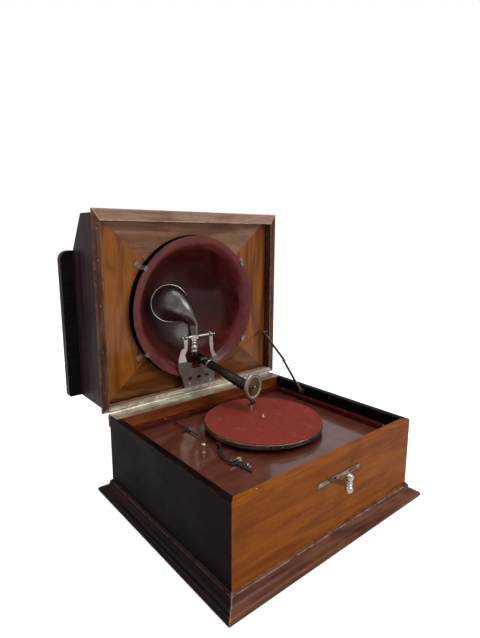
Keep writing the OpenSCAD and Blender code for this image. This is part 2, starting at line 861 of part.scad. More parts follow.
module mouth_bottom() {
  w = mouth_in_z0 - lid_z0;
  color([0.45, 0.26, 0.16])
    mouth_member([
      [-mouth_out_x, lid_z0], [mouth_out_x, lid_z0],
      [mouth_in_x, mouth_in_z0], [-mouth_in_x, mouth_in_z0]
    ])
      translate([-300, mouth_y, mouth_in_z0])
        rotate([90, 0, 90])
          linear_extrude(600) polygon([for (p = lip_pts(w, mouth_root)) [p[1], -p[0]]]);
}

module mouth_top() {
  w = mouth_z1 - mouth_in_z1;
  color([0.45, 0.26, 0.16])
    mouth_member([
      [-mouth_out_x, mouth_z1], [mouth_out_x, mouth_z1],
      [mouth_in_x, mouth_in_z1], [-mouth_in_x, mouth_in_z1]
    ])
      translate([-300, mouth_y, mouth_in_z1])
        rotate([90, 0, 90])
          linear_extrude(600) polygon([for (p = lip_pts(w, mouth_end)) [p[1], p[0]]]);
}

module mouth_sides() {
  w = mouth_out_x - mouth_in_x;
  color([0.45, 0.26, 0.16])
    for (s = [0, 1])
      mirror([s, 0, 0])
        mouth_member([
          [mouth_out_x, lid_z0], [mouth_out_x, mouth_z1],
          [mouth_in_x, mouth_in_z1], [mouth_in_x, mouth_in_z0]
        ])
          translate([mouth_in_x, mouth_y, lid_z0 - 10])
            linear_extrude(lid_len + 20) polygon([for (p = lip_pts(w, mouth_side)) [p[0], p[1]]]);
}

// Veneer panels, mitred along the diagonals and cut round for the bowl.
panel_z0 = body_z0 + lid_t;
panel_z1 = body_z1 - lid_t;
panel_y = mouth_y + panel_deep;
bowl_z = hinge_z + bowl_up;
panel_mid = [0, (panel_z0 + panel_z1) / 2];

module panel(corner_a, corner_b) {
  difference() {
    translate([0, panel_y + panel_t, 0])
      rotate([90, 0, 0])
        linear_extrude(panel_t) polygon([corner_a, corner_b, panel_mid]);
    translate([0, panel_y - 1, bowl_z])
      rotate([-90, 0, 0]) cylinder(r = bowl_r + bowl_hole_gap, h = panel_t + 2, $fn = 96);
  }
}

module panel_bottom() {
  color([0.5, 0.26, 0.08]) panel([-lid_in_x, panel_z0], [lid_in_x, panel_z0]);
}

module panel_top() {
  color([0.5, 0.26, 0.08]) panel([-lid_in_x, panel_z1], [lid_in_x, panel_z1]);
}

module panel_sides() {
  color([0.46, 0.24, 0.08])
    for (s = [-1, 1])
      panel([s * lid_in_x, panel_z0], [s * lid_in_x, panel_z1]);
}

// Bowl, as [radius, depth] outlines of its inside and outside. The arm's sheet bracket
// passes just in front of its rim.
sheet_t = 1.5;
sheet_y = hinge_y + 0.8;
bowl_y = sheet_y + sheet_t + touch;
function curve3(a, b, c, n) =
  [for (i = [0:n]) let (t = i / n) pow(1 - t, 2) * a + 2 * t * (1 - t) * b + t * t * c];
bowl_wall_in = arc_pts([0, flange_deep], throat_r, bowl_deep - flange_deep, 4, 90, 20);
bowl_wall_out = arc_pts(
  [0, flange_deep], throat_r + bowl_t, bowl_deep - flange_deep + bowl_t, 90, 4, 20
);
bowl_in = concat(
  curve3([bowl_r, 0], [throat_r + 3, 5], bowl_wall_in[0], 8),
  [for (i = [1:20]) bowl_wall_in[i]]
);
bowl_out = concat(
  [for (i = [0:19]) bowl_wall_out[i]],
  curve3(bowl_wall_out[20], [throat_r + 3 + bowl_t, 5 + bowl_t], [bowl_r + bowl_t * 0.4, bowl_t * 1.2], 8)
);

module bowl() {
  color([0.38, 0.12, 0.12])
    translate([0, bowl_y, bowl_z])
      rotate([-90, 0, 0])
        rotate_extrude($fn = 96) polygon(concat(bowl_in, bowl_out));
}

module bowl_clips() {
  r = bowl_r + bowl_t + touch;
  color([0.62, 0.6, 0.55])
    for (a = [36, 144, 214, 326])
      translate([0, 0, bowl_z])
        rotate([0, -a, 0]) {
          translate([r + 1.2, panel_y - 1.4, -5]) cube([16, 1.4, 10]);
          translate([r, bowl_y - 0.9, -5]) cube([1.4, panel_y - bowl_y + 0.9, 10]);
          translate([r - 6, bowl_y - 1.4, -5]) cube([7.4, 1.1, 10]);
          translate([r + 11, panel_y - 1.4, 0])
            rotate([90, 0, 0]) cylinder(r1 = 3, r2 = 1.8, h = 1.4);
        }
}

// Nickel sheet bracket that holds the arm, with its two ears leaning back.
ear_z = hinge_z + ear_up;
ears_y = hinge_y + ear_y;
bend_z = hinge_z + 76;
lean = atan((ears_y - sheet_y - sheet_t / 2) / (ear_z - bend_z));
ear_left = -26;
ear_right = 44;
ear_r = 6.5;

module sheet(y0) {
  translate([0, y0, 0]) rotate([90, 0, 0]) mirror([0, 0, 1]) linear_extrude(sheet_t) children();
}

module arm_bracket() {
  h = hinge_z;
  foot_z = mouth_in_z0;
  up = (ear_z - bend_z) / cos(lean);
  color([0.7, 0.69, 0.66])
    difference() {
      union() {
        sheet(sheet_y)
          difference() {
            polygon([
              [-41, foot_z], [-49, h + 44], [-56, h + 56], [-57, bend_z],
              [-34, bend_z], [-33, h + 73], [-20, h + 70], [-24, h + 62], [-14, h + 57],
              [34, h + 57], [37, h + 64], [37, bend_z],
              [51, bend_z], [52, h + 62], [46, h + 50], [41, h + 36], [44, foot_z]
            ]);
            for (x = [-26, -2, 21])
              translate([x, h + 35]) scale([1.5, 1]) circle(r = 3.6);
          }
        translate([-41, sheet_y, foot_z]) cube([85, 16, sheet_t]);
        translate([0, sheet_y, bend_z])
          rotate([-lean, 0, 0])
            translate([0, 0, -bend_z])
              sheet(0) {
                polygon([
                  [-57, bend_z - 0.1], [-50, bend_z + 17], [-43, bend_z + 28], [-34, bend_z + 31],
                  [ear_left - 6, bend_z + up - 3], [ear_left + 5, bend_z + up - 4],
                  [-27, bend_z + 26], [-36, bend_z + 15], [-34, bend_z - 0.1]
                ]);
                polygon([
                  [37, bend_z - 0.1], [35, bend_z + 14], [ear_right - 5, bend_z + up - 4],
                  [ear_right + 5, bend_z + up - 4], [44, bend_z + 14], [51, bend_z - 0.1]
                ]);
                for (x = [ear_left, ear_right])
                  translate([x, bend_z + up]) circle(r = ear_r);
              }
        for (x = [ear_left, ear_right])
          translate([x, ears_y, ear_z])
            rotate([0, 90, 0]) cylinder(r = 5, h = 6, center = true);
      }
      translate([0, ears_y, ear_z])
        rotate([0, 90, 0]) cylinder(r = 2 + run_gap, h = 120, center = true);
    }
}

// Crossbar between the ears, with the collar that the arm swings in.
pivot = [0, hinge_y + pivot_y, 0];
bar_z = ear_z;

module crossbar() {
  color([0.6, 0.59, 0.57])
    difference() {
      union() {
        translate([ear_left - ear_r - 4.4, ears_y, bar_z])
          rotate([0, 90, 0]) cylinder(r = 2, h = ear_right - ear_left + 2 * ear_r + 8.8);
        for (x = [ear_left - ear_r - 4.4, ear_right + ear_r + 2.4])
          translate([x, ears_y, bar_z]) rotate([0, 90, 0]) cylinder(r = 3.6, h = 2);
        translate([ear_left + ear_r + 0.4, ears_y, bar_z])
          rotate([0, 90, 0]) cylinder(r = 3.4, h = ear_right - ear_left - 2 * ear_r - 0.8);
        translate([pivot[0], pivot[1], bar_z - 5]) cylinder(r = neck_r + 2.5, h = 9);
        translate([pivot[0], pivot[1], bar_z - 12]) cylinder(r = 8, h = 8);
      }
      translate([pivot[0], pivot[1], bar_z - 14]) cylinder(r = 5 + run_gap, h = 12);
      translate([pivot[0], pivot[1], bar_z - 3]) cylinder(r = neck_r - 2, h = 8);
    }
}

// Gooseneck: a horn that leaves the crossbar upright, sweeps to the left while it widens,
// and ends in a round mouth that faces back into the bowl. Its rings stand in half planes
// round one level line behind the neck, so no two of them meet.
neck_at = [pivot[0], pivot[1], bar_z + 4];
bell_at = [-41.3, hinge_y + 58.6, ear_z + 77.1];
bell_az = 72.5;
bell_el = -2.7;
sweep_rise = 22;
neck_wall = 1.4;
neck_rings = 26;
neck_sides = 32;
upright_rings = 5;
hollow_from = 0.58;

function unit(v) = v / norm(v);

sweep_a = 90 - bell_el;
back_dir = [cos(bell_az), sin(bell_az), 0];
side_dir = [-sin(bell_az), cos(bell_az), 0];
bell_way = bell_at - neck_at;
side_all = bell_way * side_dir;
reach1 = (bell_way[2] - sweep_rise) / sin(sweep_a);
reach0 = bell_way * back_dir + reach1 * cos(sweep_a);
line_at = neck_at + [0, 0, sweep_rise] + reach0 * back_dir;

function outward(a) = sin(a) * [0, 0, 1] - cos(a) * back_dir;
function horn_r(t) = neck_r + sweep_grow + (bell_r - neck_r - sweep_grow) * pow(t, 2.1);
function circle_pts(c, r, x, y) =
  [for (k = [0:neck_sides - 1]) let (a = 360 * k / neck_sides) c + r * (cos(a) * x + sin(a) * y)];
function upright_ring(k) =
  circle_pts(
    neck_at + [0, 0, sweep_rise * k / upright_rings],
    neck_r + sweep_grow * k / upright_rings,
    side_dir,
    -back_dir
  );
function sweep_ring(t, wall) =
  let (
    a = sweep_a * t,
    reach = reach0 + (reach1 - reach0) * pow(t, 1.45),
    c = line_at + reach * outward(a) + side_all * pow(t, 1.55) * side_dir
  )
  circle_pts(c, horn_r(t) - wall, side_dir, outward(a));
function flat(l) = [for (ring = l) for (p = ring) p];

module gooseneck() {
  inner = [for (k = [0:10]) 1 - (1 - hollow_from) * k / 10];
  rings = concat(
    [for (k = [0:upright_rings - 1]) upright_ring(k)],
    [for (k = [0:neck_rings]) sweep_ring(k / neck_rings, 0)],
    [for (t = inner) sweep_ring(t, neck_wall)]
  );
  last = len(rings) - 1;
  color([0.55, 0.54, 0.53])
    polyhedron(
      points = flat(rings),
      faces = concat(
        [[for (k = [0:neck_sides - 1]) k]],
        [
          for (i = [0:last - 1]) for (k = [0:neck_sides - 1])
            let (n = (k + 1) % neck_sides)
              [i * neck_sides + n, i * neck_sides + k, (i + 1) * neck_sides + k]
        ],
        [
          for (i = [0:last - 1]) for (k = [0:neck_sides - 1])
            let (n = (k + 1) % neck_sides)
              [i * neck_sides + n, (i + 1) * neck_sides + k, (i + 1) * neck_sides + n]
        ],
        [[for (k = [0:neck_sides - 1]) last * neck_sides + neck_sides - 1 - k]]
      )
    );
}

// Elbow: hangs from the crossbar and ends in two cheeks round the folding knuckle.
fold = [fold_x, hinge_y + fold_y, hinge_z + fold_up];
elbow_top = [pivot[0], pivot[1], fold[2] + 8];
box_c = [box_x, box_y, hinge_z + box_up];
back_v = unit(elbow_top - fold);
arm_v = unit(box_c - fold);
knuckle_reach = 16;
tongue_w = 5.2;
cheek_r = 8.6;
cheek_t = 3.2;
cheek_out = tongue_w + touch + cheek_t;

module from_to(a, b) {
  d = b - a;
  translate(a)
    rotate([0, acos(d[2] / norm(d)), atan2(d[1], d[0])]) children();
}

module elbow() {
  neck_end = fold + back_v * knuckle_reach;
  color([0.12, 0.11, 0.11])
    difference() {
      union() {
        translate([pivot[0], pivot[1], bar_z - 12 - touch - 12]) cylinder(r = 6.5, h = 12);
        translate([pivot[0], pivot[1], bar_z - 20]) cylinder(r = 5, h = 16);
        translate(elbow_top) cylinder(r = arm_r, h = bar_z - 22 - elbow_top[2]);
        translate(elbow_top) sphere(r = arm_r + 1.2);
        from_to(neck_end, elbow_top) cylinder(r = arm_r, h = norm(elbow_top - neck_end));
        from_to(neck_end, elbow_top) cylinder(r = arm_r + 2.4, h = 5);
        translate(fold)
          rotate([atan2(back_v[2], back_v[1]), 0, 0]) {
            for (s = [-1, 1])
              translate([s * (tongue_w + touch + cheek_t / 2), 0, 0]) {
                rotate([0, 90, 0]) cylinder(r = cheek_r, h = cheek_t, center = true);
                translate([-cheek_t / 2, 0, -5]) cube([cheek_t, knuckle_reach + 3, 10]);
              }
          }
      }
      translate(fold) rotate([0, 90, 0]) cylinder(r = 2 + run_gap, h = 40, center = true);
    }
}

collar_l = 16;
disc_az = -78;
disc_el = 2;
disc_n = [cos(disc_az) * cos(disc_el), sin(disc_az) * cos(disc_el), sin(disc_el)];
box_back = 10;
swivel_gap = 0.4;
end_back = box_back + arm_end_r + 2;
tube_end = box_c - disc_n * end_back;

module arm_tube() {
  tube_v = unit(tube_end - fold);
  start = fold + tube_v * knuckle_reach;
  color([0.16, 0.13, 0.12])
    union() {
      from_to(start, tube_end) cylinder(r1 = arm_r, r2 = arm_end_r, h = norm(tube_end - start));
      from_to(start + tube_v * 3, tube_end) cylinder(r = arm_r + 1, h = 4);
      translate(tube_end) sphere(r = arm_end_r + 1);
      from_to(tube_end, box_c)
        cylinder(r1 = arm_end_r - 1, r2 = arm_end_r + 3, h = end_back - box_back - swivel_gap);
      translate(fold) {
        rotate([0, 90, 0]) cylinder(r = cheek_r, h = 2 * tongue_w, center = true);
        rotate([atan2(tube_v[2], tube_v[1]), 0, 0])
          translate([-tongue_w, 0, -5]) cube([2 * tongue_w, knuckle_reach + 3, 10]);
        rotate([0, 90, 0]) cylinder(r = 2, h = 2 * cheek_out + 2, center = true);
      }
      for (s = [-1, 1])
        translate(fold + [s * (cheek_out + 0.8), 0, 0])
          rotate([0, 90, 0]) cylinder(r = 3.6, h = 1, center = true);
    }
}

// Soundbox. Inside at_disc, X points down, Y to the right and Z out of the face.
module at_disc() {
  translate(box_c) rotate([0, 90 - disc_el, disc_az]) children();
}

needle_tip = [52, -15, 4];
chuck_at = [33, -9.5, 1.5];
lug_at = [box_r - 3, -8.5, -1];

module soundbox() {
  color([0.62, 0.58, 0.48])
    at_disc() {
      rotate_extrude($fn = 72)
        polygon(concat(
          [[0, -box_back], [11, -box_back], [12, -7], [22, -6]],
          arc_pts([box_r - 4, -2], 4, 4, -90, 90, 8),
          [[box_r - 6, 1.2], [box_r - 6.6, 0.2], [5, 0.2], [4, 1.6], [2.5, 2.4], [2, 3.6], [0, 3.6]]
        ));
      from_to(lug_at, chuck_at) cylinder(r = 3.4, h = norm(chuck_at - lug_at));
      translate(lug_at) sphere(r = 4);
      translate(chuck_at) rotate([0, 90, 0]) cylinder(r = 3.4, h = 7, center = true);
      for (s = [-1, 1])
        translate(chuck_at + [1, 0, 0]) {
          rotate([-s * 90, 0, 0]) cylinder(r = 1.3, h = 9);
          translate([0, s * 10, 0]) sphere(r = 3.2);
        }
    }
}

module needle() {
  start = chuck_at + unit(needle_tip - chuck_at) * 5;
  color([0.75, 0.75, 0.75])
    at_disc()
      from_to(start, needle_tip)
        union() {
          cylinder(r = 0.8, h = norm(needle_tip - start) - 3);
          translate([0, 0, norm(needle_tip - start) - 3]) cylinder(r1 = 0.8, r2 = 0.3, h = 3);
        }
}

// Lid stay of two links on the right. The lower link turns on the case's bracket and
// the upper one on the lid's stud. They meet face to face at the middle rivet.
stay_t = 2;
stay_low = [stay_y, case_h - stay_down];
stay_top = [hinge_y + stay_top_y, hinge_z + stay_top_up];
stay_base = norm(stay_top - stay_low);
upper_l = stay_base + stay_slack - lower_l;
stay_cos = (lower_l * lower_l + stay_base * stay_base - upper_l * upper_l) / (2 * lower_l * stay_base);
stay_turn = atan2(stay_top[1] - stay_low[1], stay_top[0] - stay_low[0]) + acos(stay_cos);
stay_mid = stay_low + lower_l * [cos(stay_turn), sin(stay_turn)];
lower_x = in_x - 5;
upper_x = lower_x + stay_t + touch;
stay_pin = 2;
stay_head = 3.5;
head_t = 1.2;

module link_bar(x, a, b) {
  d = b - a;
  translate([x, a[0], a[1]])
    rotate([atan2(d[1], d[0]), 0, 0]) {
      rotate([0, 90, 0]) cylinder(r = stay_w / 2, h = stay_t);
      translate([0, 0, -stay_w / 2 + 0.8]) cube([stay_t, norm(d), stay_w - 1.6]);
      translate([0, norm(d), 0]) rotate([0, 90, 0]) cylinder(r = stay_w / 2, h = stay_t);
    }
}

module rivet(x0, x1, at) {
  translate([x0, at[0], at[1]])
    rotate([0, 90, 0]) {
      cylinder(r = stay_pin, h = x1 - x0);
      cylinder(r = stay_head, h = head_t);
    }
}

module stay_bracket() {
  plate_x = in_x - 2.5;
  color([0.62, 0.6, 0.55]) {
    translate([plate_x, stay_low[0] - 8, stay_low[1] - 8]) cube([2.5, 16, 14]);
    rivet(lower_x - touch - head_t, in_x, stay_low);
  }
}

module stay_stud() {
  plate_x = lid_in_x - 1.5;
  seat_x = upper_x + stay_t + touch;
  color([0.62, 0.6, 0.55]) {
    translate([plate_x, stay_top[0] - 7, stay_top[1] - 11]) cube([1.5, 14, 22]);
    translate([seat_x, stay_top[0], stay_top[1]])
      rotate([0, 90, 0]) cylinder(r = stay_head, h = lid_in_x - seat_x);
    rivet(upper_x - touch - head_t, lid_in_x, stay_top);
  }
}

module stay_lower() {
  color([0.5, 0.48, 0.44])
    difference() {
      union() {
        link_bar(lower_x, stay_low, stay_mid);
        rivet(lower_x - head_t, lower_x + 1, stay_mid);
      }
      translate([lower_x - 1, stay_low[0], stay_low[1]])
        rotate([0, 90, 0]) cylinder(r = stay_pin + run_gap, h = stay_t + 2);
    }
}

module stay_upper() {
  color([0.5, 0.48, 0.44])
    difference() {
      link_bar(upper_x, stay_mid, stay_top);
      translate([upper_x - 1, stay_top[0], stay_top[1]])
        rotate([0, 90, 0]) cylinder(r = stay_pin + run_gap, h = stay_t + 2);
    }
}

base_board();
plinth_front();
plinth_rear();
plinth_sides();
case_front();
case_rear();
case_sides();
hinge_rail();
motor_board();
front_board();
board_cleats();
board_ledgers();
hinge_lower_leaf();
guide_plate();
guide_screws();
crank_escutcheon();
motor_plate();
motor_bridge();
motor_pillars();
spring_barrel();
mainspring();
winding_arbor();
second_wheel();
governor();
platter();
felt_mat();
spindle();
crank();
crank_grip();
brake_lever();
brake_clip();
speed_lever();
speed_peg();
front_lever();
mouth_bottom();
mouth_top();
mouth_sides();
lid_sides();
lid_rear_wall();
lid_front_wall();
lid_slope();
lid_back();
top_board();
panel_bottom();
panel_top();
panel_sides();
bowl();
bowl_clips();
hinge_upper_leaf();
arm_bracket();
crossbar();
gooseneck();
elbow();
arm_tube();
soundbox();
needle();
stay_bracket();
stay_stud();
stay_lower();
stay_upper();
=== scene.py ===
import math

import bmesh
import bpy
from mathutils import Matrix, Vector


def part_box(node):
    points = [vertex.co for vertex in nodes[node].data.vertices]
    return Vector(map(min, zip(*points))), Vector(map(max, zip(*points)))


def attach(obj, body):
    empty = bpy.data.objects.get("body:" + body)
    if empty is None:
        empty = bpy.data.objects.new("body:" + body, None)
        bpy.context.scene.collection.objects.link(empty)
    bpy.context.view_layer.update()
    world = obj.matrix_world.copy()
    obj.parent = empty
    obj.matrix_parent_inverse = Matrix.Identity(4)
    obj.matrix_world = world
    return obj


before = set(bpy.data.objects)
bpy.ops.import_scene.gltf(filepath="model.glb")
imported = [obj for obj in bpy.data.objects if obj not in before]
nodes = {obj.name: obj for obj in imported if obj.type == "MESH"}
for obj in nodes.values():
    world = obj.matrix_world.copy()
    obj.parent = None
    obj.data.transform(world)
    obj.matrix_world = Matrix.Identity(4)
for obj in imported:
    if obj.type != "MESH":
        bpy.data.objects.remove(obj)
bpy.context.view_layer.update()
scene = bpy.context.scene
mm = 0.001
print("frame loaded")


# Colours are picked as the eye sees them and stored as the shader wants them.
def tint(red, green, blue):
    def toLinear(value):
        value /= 255
        return value / 12.92 if value <= 0.04045 else ((value + 0.055) / 1.055) ** 2.4

    return (toLinear(red), toLinear(green), toLinear(blue), 1)


def middle(node):
    low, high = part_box(node)
    return (low + high) / 2


edgeLook = {"samples": 6, "flat": 0.99, "sharp": 0.82}


# Shader building blocks
class Shader:
    def __init__(self, name, **sockets):
        self.material = bpy.data.materials.new(name)
        self.material.use_nodes = True
        self.tree = self.material.node_tree
        self.tree.nodes.clear()
        self.surface = self.add("ShaderNodeBsdfPrincipled")
        output = self.add("ShaderNodeOutputMaterial")
        self.link(self.surface.outputs["BSDF"], output.inputs["Surface"])
        for socket, value in sockets.items():
            self.surface.inputs[socket.replace("_", " ")].default_value = value
        self.coords = self.add("ShaderNodeTexCoord").outputs["Object"]

    def add(self, kind, **settings):
        node = self.tree.nodes.new(kind)
        for key, value in settings.items():
            setattr(node, key, value)
        return node

    def link(self, source, target):
        self.tree.links.new(source, target)

    # Noise on object coordinates, with one scale for all axes or one for each
    def noise(self, scale, detail, distortion, roughness, shift=(0, 0, 0)):
        mapping = self.add("ShaderNodeMapping")
        mapping.inputs["Scale"].default_value = scale if isinstance(scale, tuple) else (scale,) * 3
        mapping.inputs["Location"].default_value = shift
        self.link(self.coords, mapping.inputs["Vector"])
        node = self.add("ShaderNodeTexNoise")
        self.link(mapping.outputs["Vector"], node.inputs["Vector"])
        node.inputs["Scale"].default_value = 1
        node.inputs["Detail"].default_value = detail
        node.inputs["Distortion"].default_value = distortion
        node.inputs["Roughness"].default_value = roughness
        return node.outputs["Fac"]

    def ramp(self, factor, stops):
        node = self.add("ShaderNodeValToRGB")
        elements = node.color_ramp.elements
        while len(elements) < len(stops):
            elements.new(0.5)
        for element, (place, colour) in zip(elements, stops):
            element.position = place
            element.color = colour
        self.link(factor, node.inputs["Fac"])
        return node.outputs["Color"]

    def span(self, value, low, high, to=(0.0, 1.0)):
        node = self.add("ShaderNodeMapRange", interpolation_type="SMOOTHSTEP")
        self.link(value, node.inputs["Value"])
        node.inputs["From Min"].default_value = low
        node.inputs["From Max"].default_value = high
        node.inputs["To Min"].default_value = to[0]
        node.inputs["To Max"].default_value = to[1]
        return node.outputs["Result"]

    # A number or colour sets the socket, and an output is linked to it
    def feed(self, value, target):
        if isinstance(value, (float, int, tuple)):
            target.default_value = value
        else:
            self.link(value, target)

    def mix(self, factor, first, second):
        node = self.add("ShaderNodeMix", data_type="RGBA")
        for socket, value in ((0, factor), (6, first), (7, second)):
            self.feed(value, node.inputs[socket])
        return node.outputs[2]

    def maths(self, operation, first, second):
        node = self.add("ShaderNodeMath", operation=operation)
        self.feed(first, node.inputs[0])
        self.feed(second, node.inputs[1])
        return node.outputs["Value"]

    def axis(self, name):
        node = self.add("ShaderNodeSeparateXYZ")
        self.link(self.coords, node.inputs["Vector"])
        return node.outputs[name]

    def rounded(self, radius):
        bevel = self.add("ShaderNodeBevel", samples=edgeLook["samples"])
        bevel.inputs["Radius"].default_value = radius
        return bevel.outputs["Normal"]

    # 1 along sharp outside edges, 0 on flat faces
    def edges(self, radius):
        geometry = self.add("ShaderNodeNewGeometry")
        dot = self.add("ShaderNodeVectorMath", operation="DOT_PRODUCT")
        self.link(self.rounded(radius), dot.inputs[0])
        self.link(geometry.outputs["Normal"], dot.inputs[1])
        return self.span(dot.outputs["Value"], edgeLook["flat"], edgeLook["sharp"])

    def bumps(self, height, distance, strength, rounding=0.0):
        bump = self.add("ShaderNodeBump")
        bump.inputs["Strength"].default_value = strength
        bump.inputs["Distance"].default_value = distance
        self.link(height, bump.inputs["Height"])
        if rounding:
            self.link(self.rounded(rounding), bump.inputs["Normal"])
        self.link(bump.outputs["Normal"], self.surface.inputs["Normal"])

    def paint(self, colour, roughness=None):
        self.link(colour, self.surface.inputs["Base Color"])
        if roughness is not None:
            self.link(roughness, self.surface.inputs["Roughness"])
        return self.material


# Noise scales of the wood, along the grain and across it, and where each layer starts and ends
woodLayers = {
    "figure": {"along": 4, "across": 34, "detail": 6, "distortion": 1.4, "roughness": 0.55},
    "streaks": {"along": 26, "across": 420, "detail": 4, "distortion": 0.4, "roughness": 0.6},
    "pores": {"along": 130, "across": 1500, "detail": 2, "distortion": 0.0, "roughness": 0.5},
    "patches": {"along": 7, "across": 7, "detail": 4, "distortion": 0.6, "roughness": 0.6},
    "scuffs": {"along": 70, "across": 70, "detail": 4, "distortion": 0.5, "roughness": 0.65},
}
woodSpans = {
    "figure": (0.30, 0.47, 0.60, 0.74),
    "streaks": (0.42, 0.70),
    "pores": (0.60, 0.70),
    "grime": (0.52, 0.75),
    "gloss": (0.35, 0.75),
    "scuffs": (0.36, 0.60),
}
woodRelief = {"pore": 0.3, "dull": 0.16, "wornDull": 0.3, "depth": 0.00012, "strength": 0.5}


def woodNoise(shader, layer, axis, shift=(0, 0, 0)):
    scale = tuple(layer["along"] if letter == axis else layer["across"] for letter in "XYZ")
    return shader.noise(scale, layer["detail"], layer["distortion"], layer["roughness"], shift)


# Varnished wood, with the grain along one axis
def woodMaterial(name, look):
    shader = Shader(
        name,
        Coat_Weight=look["coat"],
        Coat_Roughness=look["coatRoughness"],
        Specular_IOR_Level=look["shine"],
    )
    axis = look["grain"]
    figure, streaks, pores, patches = (
        woodNoise(shader, woodLayers[layer], axis, look["shift"])
        for layer in ("figure", "streaks", "pores", "patches")
    )
    shades = (look["dark"], look["middle"], look["light"], look["middle"])
    colour = shader.ramp(figure, list(zip(woodSpans["figure"], shades)))
    stripes = shader.maths("MULTIPLY", shader.span(streaks, *woodSpans["streaks"]), look["stripe"])
    colour = shader.mix(stripes, colour, look["dark"])
    poreMask = shader.span(pores, *woodSpans["pores"])
    filled = shader.maths("MULTIPLY", poreMask, woodRelief["pore"])
    colour = shader.mix(filled, colour, look["pore"])
    grime = shader.maths("MULTIPLY", shader.span(patches, *woodSpans["grime"]), look["grime"])
    colour = shader.mix(grime, colour, look["pore"])
    gloss = (look["gloss"], look["gloss"] + woodRelief["dull"])
    roughness = shader.span(patches, *woodSpans["gloss"], gloss)
    if look["wear"]:
        scuffs = shader.span(woodNoise(shader, woodLayers["scuffs"], axis), *woodSpans["scuffs"])
        worn = shader.maths("MULTIPLY", shader.edges(look["wearWidth"]), scuffs)
        worn = shader.maths("MULTIPLY", worn, look["wear"])
        colour = shader.mix(worn, colour, look["bare"])
        dulled = shader.maths("MULTIPLY", worn, woodRelief["wornDull"])
        roughness = shader.maths("ADD", roughness, dulled)
    height = shader.maths("SUBTRACT", streaks, poreMask)
    shader.bumps(height, woodRelief["depth"], woodRelief["strength"], look["round"])
    return shader.paint(colour, roughness)


woodBase = {
    "grain": "X",
    "dark": tint(114, 54, 8),
    "middle": tint(134, 69, 10),
    "light": tint(148, 81, 14),
    "pore": tint(64, 27, 6),
    "bare": tint(176, 122, 86),
    "stripe": 0.4,
    "coat": 0.06,
    "coatRoughness": 0.16,
    "shine": 0.06,
    "gloss": 0.34,
    "grime": 0.35,
    "wear": 0.6,
    "wearWidth": 0.0016,
    "round": 0.0012,
    "shift": (0, 0, 0),
}
redWood = {
    "dark": tint(14, 6, 5),
    "middle": tint(26, 12, 9),
    "light": tint(38, 19, 14),
    "pore": tint(8, 4, 3),
    "bare": tint(112, 72, 52),
    "coat": 0.05,
    "coatRoughness": 0.2,
    "shine": 0.06,
    "gloss": 0.36,
}
golden = {
    "dark": tint(92, 46, 18),
    "middle": tint(134, 74, 26),
    "light": tint(156, 92, 34),
    "stripe": 0.14,
    "grime": 0.55,
    "coat": 0.45,
    "coatRoughness": 0.1,
    "gloss": 0.3,
    "wear": 0.0,
}
